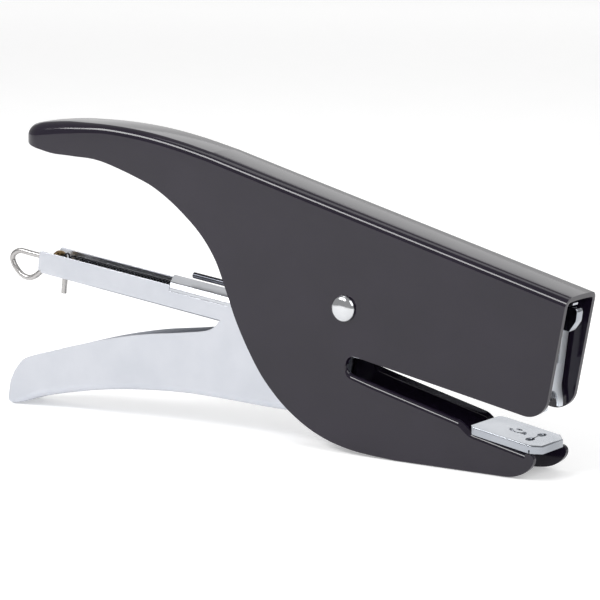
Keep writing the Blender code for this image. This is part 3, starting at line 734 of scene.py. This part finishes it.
def anvil_plate():
    """Plated sheet folded down over the jaw on three sides, with its clinching recesses."""
    rear, front = ANVIL_REAR, ANVIL_FRONT
    half = ANVIL_HALF
    nose = half - CHAMFER
    shoulder = front - CHAMFER_RUN
    plan = arc((rear + NEAR_CORNER, -half + NEAR_CORNER), NEAR_CORNER, 180.0, 270.0, 6)
    plan += [(shoulder, -half), (front, -nose), (front, nose), (shoulder, half)]
    plan += arc((rear + FAR_CORNER, half - FAR_CORNER), FAR_CORNER, 90.0, 180.0, 10)
    work = plan_slab(plan, -ANVIL_WALL, 0.0)
    top_edges = [edge for edge in work.edges if all(vert.co.z > -0.001 for vert in edge.verts)
                 and max(vert.co.x for vert in edge.verts) > rear + NEAR_CORNER + 0.1]
    bmesh.ops.bevel(work, geom=top_edges, offset=ANVIL_EDGE, segments=3, affect="EDGES",
                    profile=0.5)
    lay_on_anvil_line(work)
    piece = finish_mesh("anvil", work, BODY_FRAME, "frame", ["anvil_plate"], CHROME)
    inner = half - ANVIL_SHEET
    inner_front = front - ANVIL_SHEET
    inner_nose = nose - 0.4
    inner_shoulder = front - 3.0
    near_side = [(rear - BEYOND, -inner), (inner_shoulder, -inner), (inner_front, -inner_nose)]
    hollow = plan_slab(near_side + [(x, -y) for x, y in reversed(near_side)],
                       -BEYOND, -ANVIL_SHEET)
    lay_on_anvil_line(hollow)
    cut(piece, hollow, BODY_FRAME)
    line = anvil_line(front)
    slit = box_outline(front - SLIT_REAR, front - SLIT_FRONT, line - BEYOND, line - SLIT_TOP)
    cut(piece, slab(slit, -half - BEYOND, -half + SLIT_REACH), BODY_FRAME)
    for side in (-1.0, 1.0):
        cut(piece, pit_tool(CLINCH_X, side * CLINCH_Y, *CLINCH_SIZE), BODY_FRAME)
    line = anvil_line(CLINCH_X)
    groove = box_outline(CLINCH_X - GROOVE_HALF, CLINCH_X + GROOVE_HALF, line - GROOVE_DEPTH,
                         line + BEYOND)
    cut(piece, slab(groove, -GROOVE_REACH, GROOVE_REACH), BODY_FRAME)
    for angle in range(195, 346, 25):
        turn = math.radians(angle)
        cut(piece, pit_tool(MARK_X + MARK_RADII[0] * math.cos(turn),
                            MARK_Y + MARK_RADII[1] * math.sin(turn), *MARK_PIT), BODY_FRAME)
    cut(piece, pit_tool(DOT_X, DOT_Y, *DOT_PIT), BODY_FRAME)
    keep_corners(piece, 40.0)


# Pivot

RIVET_GAP = 0.12
RIVET_RIM = 0.22
RIVET_SHANK = 1.9
RIVET_ROUNDNESS = 0.86


def pivot():
    """The domed rivet, with a head on either side of the body."""
    low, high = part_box("pivot_rivet")
    seat = BODY_HALF + RIVET_GAP
    dome = high.y / MM - seat - RIVET_RIM
    radius = 0.5 * (high.x - low.x) / MM
    side = [(0.0, seat + RIVET_RIM + dome)]
    for step in range(1, 13):
        angle = math.radians(90.0 - 7.5 * step)
        side.append((radius * math.cos(angle) ** RIVET_ROUNDNESS,
                     seat + RIVET_RIM + dome * math.sin(angle)))
    side += [(radius, seat + 0.06), (radius - 0.08, seat), (RIVET_SHANK, seat)]
    profile = side + [(r, -place) for r, place in reversed(side)]
    lathe("rivet", profile, "frame", ["pivot_rivet"], POLISHED)


# Lever

LEVER_BACK = [(59.0, 7.3), (40.0, 8.2), (0.0, 9.0), (-20.0, 8.2), (-33.0, 4.0), (-38.6, -2.5),
              (-42.2, -7.6), (-46.0, -10.6), (-55.5, -12.3), (-69.5, -14.2), (-84.0, -17.2),
              (-98.7, -21.2), (-110.0, -24.4), (-113.6, -26.3), (-116.3, -29.4)]
LEVER_UNDER = [(-117.6, -31.6), (-118.5, -34.0), (-119.2, -36.9), (-119.15, -38.4),
               (-118.2, -39.1), (-116.2, -39.1), (-113.0, -38.3), (-106.0, -36.1),
               (-95.0, -33.75), (-84.0, -31.85), (-70.0, -30.35), (-55.6, -29.6),
               (-41.8, -29.85), (-28.3, -30.4), (-20.0, -30.55)]
LEVER_THROAT = [(-17.0, -30.6), (-10.0, -27.0), (-6.5, -20.0), (-5.0, -11.8), (2.0, -8.6),
                (20.0, -6.0), (59.0, -1.5)]

# The fold is tight at the lever's tip, and tighter still over the first points of its path
LEVER_TIP_FOLD = 0.95
LEVER_RUN_IN = 12
LEVER_FOLD = 2.4
LEVER_FOLD_RUN = 12.0

# The crosspiece over the driver and its finger
BRIDGE_REAR = 50.0
BRIDGE_FRONT = 58.2
BRIDGE_BOTTOM = 13.85
BRIDGE_TOP = 14.65
FINGER_ROOT = 59.6
FINGER_END = 63.6
FINGER_HALF = 1.4
FINGER_END_HALF = 1.3


def squeeze_lever():
    """A folded sheet: two walls on a narrow underside, with a crosspiece at the front."""
    work = bmesh.new()
    path = spline(LEVER_UNDER, 6)
    radii = [LEVER_TIP_FOLD + (LEVER_FOLD - LEVER_TIP_FOLD)
             * smooth_step((x - LEVER_UNDER[4][0]) / LEVER_FOLD_RUN) for x, z in path]
    for index in range(LEVER_RUN_IN):
        radii[index] = LEVER_TIP_FOLD * (0.2 + 0.8 * smooth_step(index / LEVER_RUN_IN))
    near, far = fold_strip(work, path, -1, LEVER_HALF, radii)
    back = spline(LEVER_BACK, 5)
    throat = LEVER_THROAT[:1] + spline(LEVER_THROAT[1:], 4)
    for edge, y in ((near, -LEVER_HALF), (far, LEVER_HALF)):
        made = list(edge)
        made += [work.verts.new((x, y, z)) for x, z in throat + back]
        work.faces.new(made)
    face_out(work, (0.0, -1.0, 0.0))
    piece = finish_mesh("lever", work, BODY_FRAME, "lever", ["squeeze_lever"], NICKEL)
    solidify(piece, LEVER_SHEET)
    bake_modifiers(piece)
    soften(piece, 0.18)
    lever_bridge()


def lever_bridge():
    """The crosspiece between the lever's walls, with the finger that presses the driver."""
    half = LEVER_HALF - LEVER_SHEET
    near_side = [(BRIDGE_REAR, -half), (BRIDGE_FRONT, -half), (FINGER_ROOT, -FINGER_HALF),
                 (FINGER_END, -FINGER_END_HALF)]
    outline = near_side + [(x, -y) for x, y in reversed(near_side)]
    work = plan_slab(outline, BRIDGE_BOTTOM, BRIDGE_TOP)
    piece = finish_mesh("lever_bridge", work, MAGAZINE_FRAME, "lever", [], NICKEL)
    soften(piece, 0.2, 3, 40.0)


# Magazine

CHANNEL_REAR = -107.0
CHANNEL_FRONT = 59.13
CHANNEL_FOLD = 0.9
EAR_RADIUS = 5.0
EAR_ROOT = 8.0
EAR_RISE = 0.3
NOSE_WALL_TOP = 50.0
NOSE_WALL_FOOT = 46.0
LATCH_SLOT_HALF = 1.15
LATCH_SLOT_END = -99.9

# The lid covers the walls down to the seam; its rear end is cut at a slant
SEAM = -8.6
COVER_REAR = -62.6
COVER_SLANT = 2.9
COVER_SLANT_END = -40.0
COVER_CAP_END = -10.0
COVER_FRONT = 57.9
COVER_TOP = -6.1
COVER_TOP_HALF = 4.15
COVER_SHOULDER = -7.6
COVER_CROWN = 0.08
COVER_RUN_DROP = 0.15

NOSE_TOP = 6.4
NOSE_BACK = 59.33
NOSE_SHEET = 0.8
NOSE_BOTTOM = -14.1
NOSE_SLOT_HALF = 1.6
NOSE_SLOT_FOOT = -2.4
LIP_TOP = -8.0
LIP_REACH = 1.1
ARCH_HALF = 3.1
ARCH_STRETCH = 1.55

STRIP_REAR = 32.2
STRIP_FRONT = 58.2
STAPLE_HALF = 4.2
STAPLE_TOP = -7.3
STAPLE_GAUGE = 0.42
STAPLE_PITCH = 0.5
STAPLE_EDGE = 0.06


def magazine_channel():
    """The box of the magazine: floor, two walls and an ear on each wall round the pivot."""
    work = bmesh.new()
    floor_run = [(x, CHANNEL_FLOOR)
                 for x in (CHANNEL_REAR + CHANNEL_FOLD, -60.0, 0.0, STRIP_FRONT)]
    near, far = fold_strip(work, floor_run, -1, CHANNEL_HALF, CHANNEL_FOLD, steps=6)
    front_run = [(CHANNEL_FRONT, CHANNEL_FLOOR + CHANNEL_FOLD), (CHANNEL_FRONT, NOSE_TOP),
                 (NOSE_WALL_TOP, NOSE_TOP), (NOSE_WALL_FOOT, WALL_TOP),
                 (EAR_ROOT + 1.5, WALL_TOP), (EAR_ROOT, WALL_TOP + EAR_RISE)]
    front_run += arc((0.0, 0.0), EAR_RADIUS, 10.0, 170.0, 20)
    front_run += [(-EAR_ROOT, WALL_TOP + EAR_RISE), (COVER_CAP_END + 0.1, WALL_TOP),
                  (COVER_CAP_END + 0.1, SEAM)]
    upper, lower = (CHANNEL_REAR, WALL_TOP), (CHANNEL_REAR, CHANNEL_FLOOR + CHANNEL_SHEET)
    rear_run = fillet((COVER_REAR, WALL_TOP), upper, lower, 0.8, 5)
    rear_run += fillet(upper, lower, (COVER_REAR, CHANNEL_FLOOR + CHANNEL_SHEET), 0.6, 4)[:-1]
    for edge, side in ((near, -1.0), (far, 1.0)):
        seam_end = COVER_REAR - side * COVER_SLANT - 0.04
        walls = front_run + [(seam_end, SEAM), (seam_end, WALL_TOP)] + rear_run
        made = list(edge)
        made += [work.verts.new((x, side * CHANNEL_HALF, z)) for x, z in walls]
        work.faces.new(made)
    face_out(work, (0.0, -1.0, 0.0))
    piece = finish_mesh("magazine_box", work, MAGAZINE_FRAME, "magazine", ["magazine_channel"],
                        NICKEL)
    solidify(piece, CHANNEL_SHEET)
    bake_modifiers(piece)
    start = CHANNEL_REAR - BEYOND
    slot = [(start, -LATCH_SLOT_HALF), (LATCH_SLOT_END, -LATCH_SLOT_HALF)]
    slot += arc((LATCH_SLOT_END, 0.0), LATCH_SLOT_HALF, -90.0, 90.0, 10)
    slot.append((start, LATCH_SLOT_HALF))
    slot_tool = plan_slab(slot, CHANNEL_FLOOR - BEYOND, CHANNEL_FLOOR + 2.5 * CHANNEL_SHEET)
    cut(piece, slot_tool, MAGAZINE_FRAME)
    soften(piece, 0.14)


def magazine_cover():
    """The cap over the channel, and the narrow run that goes on to the nose inside it."""
    foot = (CHANNEL_HALF, SEAM + 0.05)
    shoulder = (CHANNEL_HALF, COVER_SHOULDER)
    top_edge = (COVER_TOP_HALF, COVER_TOP)
    crown = (0.0, COVER_TOP + COVER_CROWN)
    side = [foot] + fillet(foot, shoulder, top_edge, 0.9, 6)
    side += fillet(shoulder, top_edge, crown, 0.7, 6)
    section = [(-y, z) for y, z in side] + [crown] + side[::-1]
    work = bmesh.new()
    rows = []
    for x, slant in ((COVER_REAR, COVER_SLANT), (COVER_SLANT_END, 0.0), (COVER_CAP_END, 0.0)):
        rows.append([work.verts.new((x - slant * y / CHANNEL_HALF, y, z)) for y, z in section])
    for one, two in zip(rows, rows[1:]):
        for index in range(len(section) - 1):
            work.faces.new((one[index], one[index + 1], two[index + 1], two[index]))
    face_out(work, (0.0, 0.0, 1.0))
    piece = finish_mesh("magazine_lid", work, MAGAZINE_FRAME, "magazine", ["magazine_cover"],
                        LID)
    solidify(piece, CHANNEL_SHEET)
    bake_modifiers(piece)
    soften(piece, 0.12)
    half = CHANNEL_HALF - CHANNEL_SHEET - 0.2
    top = COVER_TOP - COVER_RUN_DROP
    run_on = plan_slab(box_outline(COVER_CAP_END - 1.0, COVER_FRONT, -half, half),
                       top - CHANNEL_SHEET, top)
    inner = finish_mesh("magazine_lid_run", run_on, MAGAZINE_FRAME, "magazine", [], NICKEL)
    soften(inner, 0.15)


def nose_plate():
    """The plate that closes the channel, slotted for the tongue and arched at its foot."""
    front = NOSE_BACK + NOSE_SHEET
    lip = [(front + LIP_REACH * smooth_step(step / 8), LIP_TOP + (NOSE_BOTTOM - LIP_TOP) * step / 8)
           for step in range(9)]
    inner_lip = [(x - NOSE_SHEET, z) for x, z in reversed(lip)]
    outline = [(front, NOSE_TOP)] + lip + inner_lip + [(NOSE_BACK, NOSE_TOP)]
    piece = finish_mesh("nose", slab(outline, -CHANNEL_HALF, CHANNEL_HALF), MAGAZINE_FRAME,
                        "magazine", ["nose_plate"], SATIN)
    behind, ahead = NOSE_BACK - BEYOND, front + BEYOND
    slot = box_outline(behind, ahead, NOSE_SLOT_FOOT, NOSE_TOP + BEYOND)
    cut(piece, slab(slot, -NOSE_SLOT_HALF, NOSE_SLOT_HALF), MAGAZINE_FRAME)
    arch = [(y, NOSE_BOTTOM - 0.2 + ARCH_STRETCH * z)
            for y, z in arc((0.0, 0.0), ARCH_HALF, 0.0, 180.0, 20)]
    below = NOSE_BOTTOM - BEYOND
    arch += [(-ARCH_HALF, below), (ARCH_HALF, below)]
    cut(piece, across_slab(arch, behind, ahead), MAGAZINE_FRAME)
    soften(piece, 0.16)


def staple_strip():
    """A full strip: thin staples side by side, seen as ridges through the arch."""
    low = CHANNEL_FLOOR + CHANNEL_SHEET + 0.2
    half, gauge, top, pitch = STAPLE_HALF, STAPLE_GAUGE, STAPLE_TOP, STAPLE_PITCH
    work = bmesh.new()
    outer = fillet((-half, low), (-half, top), (0.0, top), 0.5, 3)
    outer += fillet((0.0, top), (half, top), (half, low), 0.5, 3)
    inner = fillet((half - gauge, low), (half - gauge, top - gauge), (0.0, top - gauge), 0.2, 2)
    inner += fillet((0.0, top - gauge), (gauge - half, top - gauge), (gauge - half, low), 0.2, 2)
    section = [(-half, low)] + outer + [(half, low), (half - gauge, low)] + inner
    section += [(gauge - half, low)]
    count = round((STRIP_FRONT - STRIP_REAR) / pitch)
    rings = []
    for index in range(count):
        place = STRIP_REAR + index * pitch
        for shift, pull in ((0.03, STAPLE_EDGE), (0.12, 0.0), (pitch - 0.12, 0.0),
                            (pitch - 0.03, STAPLE_EDGE)):
            rings.append([work.verts.new((place + shift, y * (1.0 - pull / half), z
                                          - (pull if z > top - 0.6 else 0.0)))
                          for y, z in section])
    for one, two in zip(rings, rings[1:]):
        for index in range(len(section)):
            following = (index + 1) % len(section)
            work.faces.new((one[index], one[following], two[following], two[index]))
    work.faces.new(rings[0])
    work.faces.new(list(reversed(rings[-1])))
    bmesh.ops.recalc_face_normals(work, faces=work.faces)
    return finish_mesh("staples", work, MAGAZINE_FRAME, "magazine", ["staple_strip"], STEEL)


# Driver

BLADE_BACK = 58.45
BLADE_FRONT = 59.05
BLADE_BOTTOM = -7.0
BLADE_TOP = 13.3
TONGUE_BACK = 59.2
TONGUE_FRONT = 65.25
TONGUE_HALF = 1.45
TONGUE_BOTTOM = 7.0
TONGUE_TOP = 13.5
TONGUE_SLANT = [(TONGUE_FRONT, 10.1), (63.6, TONGUE_BOTTOM)]


def driver():
    """The blade, and the rounded tongue that passes through the nose plate's slot."""
    blade = box_outline(BLADE_BACK, BLADE_FRONT, BLADE_BOTTOM, BLADE_TOP)
    blade = slab(blade, -STAPLE_HALF, STAPLE_HALF)
    piece = finish_mesh("blade", blade, MAGAZINE_FRAME, "driver", ["driver_blade"], STEEL)
    soften(piece, 0.1)
    upper_back, upper_front = (TONGUE_BACK, TONGUE_TOP), (TONGUE_FRONT, TONGUE_TOP)
    lower_back = (TONGUE_BACK, TONGUE_BOTTOM)
    slant_start, slant_end = TONGUE_SLANT
    outline = [upper_back] + fillet(upper_back, upper_front, slant_start, 1.3)
    outline += fillet(upper_front, slant_start, slant_end, 1.6, 5)
    outline += fillet(slant_start, slant_end, lower_back, 0.7, 5) + [lower_back]
    tongue = finish_mesh("tongue", slab(outline, -TONGUE_HALF, TONGUE_HALF), MAGAZINE_FRAME,
                         "driver", ["driver_tongue"], CHROME)
    soften(tongue, 0.3, 3, 40.0)


# Rod, pusher and springs

WIRE_RADIUS = 0.8
ROD_FRONT = 56.5
COLLAR_RADIUS = 3.0
COLLAR_REAR = -104.6
COLLAR_FRONT = -102.4
COLLAR_FLAT = -11.95
END_WASHER_RADIUS = 1.9
END_WASHER_REAR = 55.4
END_WASHER_FRONT = 56.2
LATCH_RUN_V = -12.9
RING_RUN = [(-114.5, ROD_AXIS), (-118.1, -9.8), (-120.2, -11.0), (-120.8, -12.6), (-120.0, -14.3),
            (-118.3, -15.85), (-116.5, -16.85), (-114.7, -17.15), (-113.2, -16.85),
            (-111.5, -15.9), (-110.0, -14.5), (-108.4, -13.3), (-106.6, LATCH_RUN_V)]
LATCH_U = -100.7
LATCH_BOTTOM = -18.85

# The pusher's spring: its turns are open, and sway a little, near the collar
SPRING_REAR = -101.9
SPRING_MEAN = 2.56
SPRING_WIRE = 0.28
SPRING_PITCH = 1.12
OPEN_PITCH = 1.9
OPEN_RUN = 9.0
OPEN_SWAY = 0.45
SWAY_RATE = 0.7
SPRING_STEPS = 14

PUSHER_REAR = 24.4
PUSHER_FRONT = 31.6
PUSHER_HALF = 4.1


def guide_rod():
    """One wire: the rod, the finger ring and the latch pin bent down from it."""
    points = [(ROD_FRONT, ROD_AXIS), (-60.0, ROD_AXIS), (-110.0, ROD_AXIS)]
    points += spline(RING_RUN, 6)
    points += fillet(RING_RUN[-1], (LATCH_U, LATCH_RUN_V), (LATCH_U, LATCH_BOTTOM), 1.0, 6)
    points += [(LATCH_U, LATCH_BOTTOM + 0.3), (LATCH_U, LATCH_BOTTOM)]
    wire("pull_rod", [(u, 0.0, v) for u, v in points], WIRE_RADIUS, "pusher_rod", ["guide_rod"],
         WIRE, sides=6)


def rod_bush(name, node, radius, low, high, rounding):
    """A turned bush on the rod, with rounded ends."""
    bore = WIRE_RADIUS + 0.05
    outline = [(bore, low)] + fillet((bore, low), (radius, low), (radius, high), rounding, 5)
    outline += fillet((radius, low), (radius, high), (bore, high), rounding, 5) + [(bore, high)]
    outline.append((bore, low))
    turn = Matrix.Translation((0.0, 0.0, ROD_AXIS)) @ Matrix.Rotation(math.radians(-90.0), 4, "Z")
    return lathe(name, outline, "pusher_rod", [node], BRASS, 40, MAGAZINE_FRAME @ turn)


def collar():
    """The stop at the rod's rear end, flat below to clear the latch wire."""
    piece = rod_bush("collar", "rod_collar", COLLAR_RADIUS, COLLAR_REAR, COLLAR_FRONT, 0.9)
    below = box_outline(COLLAR_REAR - BEYOND, COLLAR_FRONT + BEYOND, COLLAR_FLAT - BEYOND,
                        COLLAR_FLAT)
    cut(piece, slab(below, -BEYOND, BEYOND), MAGAZINE_FRAME)
    keep_corners(piece, 50.0)


def pusher_spring():
    """The long fine coil: close turns along the rod, and a few open ones by the collar."""
    points = []
    place, angle = SPRING_REAR, 0.0
    while place < PUSHER_REAR - 0.4:
        open_share = 1.0 - smooth_step((place - SPRING_REAR) / OPEN_RUN)
        pitch = SPRING_PITCH + OPEN_PITCH * open_share
        sway = OPEN_SWAY * open_share
        points.append((place, SPRING_MEAN * math.cos(angle) + sway * math.sin(SWAY_RATE * angle),
                       ROD_AXIS + SPRING_MEAN * math.sin(angle)))
        angle += math.tau / SPRING_STEPS
        place += pitch / SPRING_STEPS
    wire("pusher_coil", points, SPRING_WIRE, "pusher_rod", ["pusher_spring"], SPRING,
         sides=1)


def staple_pusher():
    """The block behind the strip, bored for the rod, with its upper rear edge cut off."""
    low = CHANNEL_FLOOR + CHANNEL_SHEET + 0.3
    outline = [(PUSHER_REAR, low), (PUSHER_FRONT, low), (PUSHER_FRONT, STAPLE_TOP),
               (PUSHER_REAR + 1.0, STAPLE_TOP), (PUSHER_REAR, STAPLE_TOP - 1.0)]
    piece = finish_mesh("pusher", slab(outline, -PUSHER_HALF, PUSHER_HALF), MAGAZINE_FRAME,
                        "pusher", ["staple_pusher"], STEEL)
    bore = rod_tool(WIRE_RADIUS + 0.2, (PUSHER_REAR - BEYOND, 0.0, ROD_AXIS),
                    (PUSHER_FRONT + BEYOND, 0.0, ROD_AXIS))
    cut(piece, bore, MAGAZINE_FRAME)
    soften(piece, 0.25)


# The spring round the pivot
RETURN_MEAN = 3.75
RETURN_WIRE = 0.875
RETURN_TAIL_END = -55.2
RETURN_TURNS = 3.25
RETURN_PITCH = 1.9
TAIL_BEND = -22.0
TAIL_BEND_RUN = 20.0


def return_spring():
    """The coil round the pivot's sleeve, its tail over the magazine and its upper leg."""
    half = 0.5 * RETURN_TURNS * RETURN_PITCH
    points = [(RETURN_TAIL_END, 0.0, -RETURN_MEAN), (RETURN_TAIL_END + 0.2, 0.0, -RETURN_MEAN),
              (-40.0, 0.0, -RETURN_MEAN)]
    for step in range(13):
        share = step / 12
        points.append((TAIL_BEND + TAIL_BEND_RUN * share, half * smooth_step(share), -RETURN_MEAN))
    steps = int(RETURN_TURNS * 32)
    for step in range(1, steps + 1):
        share = step / steps
        angle = -0.5 * math.pi + share * RETURN_TURNS * math.tau
        points.append((RETURN_MEAN * math.cos(angle), half * (1.0 - 2.0 * share),
                       RETURN_MEAN * math.sin(angle)))
    points += [(RETURN_MEAN, -half, 4.0), (RETURN_MEAN - 0.5, -half, 8.0),
               (RETURN_MEAN - 2.5, -half, 22.0)]
    wire("lever_spring", points, RETURN_WIRE, "magazine", ["return_spring"], SPRING,
         sides=5)


def carried_over():
    """CAD nodes that stay as they are, in bare steel."""
    for name in ("pivot_sleeve", "washer_near", "washer_far", "tongue_rivet"):
        node = frame["nodes"][name]
        node.data.materials.clear()
        node.data.materials.append(STEEL)
        for face in node.data.polygons:
            face.use_smooth = False


# Every piece, in order

body_shell()
anvil_plate()
pivot()
squeeze_lever()
magazine_channel()
magazine_cover()
nose_plate()
strip = staple_strip()
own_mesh(strip)
driver()
guide_rod()
collar()
rod_bush("end_washer", "rod_end_washer", END_WASHER_RADIUS, END_WASHER_REAR, END_WASHER_FRONT, 0.2)
pusher_spring()
staple_pusher()
return_spring()
carried_over()


# Stage: floor, light and camera, in metres

CAMERA_AZIMUTH = math.radians(34.182)
CAMERA_ELEVATION = math.radians(9.157)
CAMERA_DISTANCE = 0.700
CAMERA_TARGET = Vector((0.008021, 0.0, 0.038646))
CAMERA_LENS = 154.53
FLOOR_GLOW = 0.34
FLOOR_REACH = 6.0
FLOOR_GAP = 0.0002


def floor_material():
    """A matt white sweep with the faintest paper grain."""
    made, nodes, shader = new_material("floor_white", 0.0)
    tone = noise(nodes, 30.0, 2.0)
    colours = ramp(nodes, tone.outputs["Fac"], (0.88, 0.88, 0.88), (0.90, 0.90, 0.90))
    made.node_tree.links.new(colours.outputs["Color"], shader.inputs["Base Color"])
    shader.inputs["Roughness"].default_value = 0.6
    shader.inputs["Emission Color"].default_value = (1.0, 1.0, 1.0, 1.0)
    shader.inputs["Emission Strength"].default_value = FLOOR_GLOW
    return made


def floor():
    """A wide plane just below the jaw's feet."""
    mesh = bpy.data.meshes.new("floor")
    work = bmesh.new()
    bmesh.ops.create_grid(work, x_segments=1, y_segments=1, size=FLOOR_REACH)
    work.to_mesh(mesh)
    work.free()
    made = bpy.data.objects.new("floor", mesh)
    made.location = (0.0, 0.0, CAD_BOUNDS[0][2] - FLOOR_GAP)
    bpy.context.scene.collection.objects.link(made)
    mesh.materials.append(floor_material())


def area_light(name, place, aim, size, power):
    """A rectangular soft light at a place, turned to what it aims at."""
    data = bpy.data.lights.new(name, "AREA")
    data.shape = "RECTANGLE"
    data.size, data.size_y = size
    data.energy = power
    made = bpy.data.objects.new(name, data)
    made.location = place
    way = Vector(aim) - Vector(place)
    made.rotation_euler = way.to_track_quat("-Z", "Y").to_euler()
    bpy.context.scene.collection.objects.link(made)


def world_light(strength):
    """Even white light from all round."""
    world = bpy.data.worlds.new("studio")
    bpy.context.scene.world = world
    world.use_nodes = True
    background = world.node_tree.nodes["Background"]
    background.inputs["Color"].default_value = (1.0, 1.0, 1.0, 1.0)
    background.inputs["Strength"].default_value = strength


def camera():
    """A long lens on the near side, turned towards the head and a little above."""
    data = bpy.data.cameras.new("camera")
    data.sensor_width = 36.0
    data.lens = CAMERA_LENS
    data.clip_start = 0.01
    made = bpy.data.objects.new("camera", data)
    back = Vector((math.sin(CAMERA_AZIMUTH) * math.cos(CAMERA_ELEVATION),
                   -math.cos(CAMERA_AZIMUTH) * math.cos(CAMERA_ELEVATION),
                   math.sin(CAMERA_ELEVATION)))
    made.location = CAMERA_TARGET + back * CAMERA_DISTANCE
    made.rotation_euler = (-back).to_track_quat("-Z", "Y").to_euler()
    bpy.context.scene.collection.objects.link(made)
    bpy.context.scene.camera = made


floor()
world_light(0.42)
area_light("key", (-0.52, -0.79, 0.83), (0.0, 0.0, 0.04), (0.85, 0.28), 9.0)
area_light("top", (-0.25, 0.15, 1.30), (0.0, 0.0, 0.04), (1.2, 0.3), 2.0)
area_light("back_low", (-1.2, 2.6, 0.62), (0.0, 0.0, 0.05), (4.0, 0.85), 5.2)
area_light("back_high", (-1.2, 2.6, 1.32), (0.0, 0.0, 0.05), (4.0, 0.52), 6.5)
area_light("side", (0.95, -0.35, 0.85), (0.0, 0.0, 0.04), (0.8, 0.8), 6.0)
camera()
bpy.context.scene.view_settings.view_transform = "Standard"
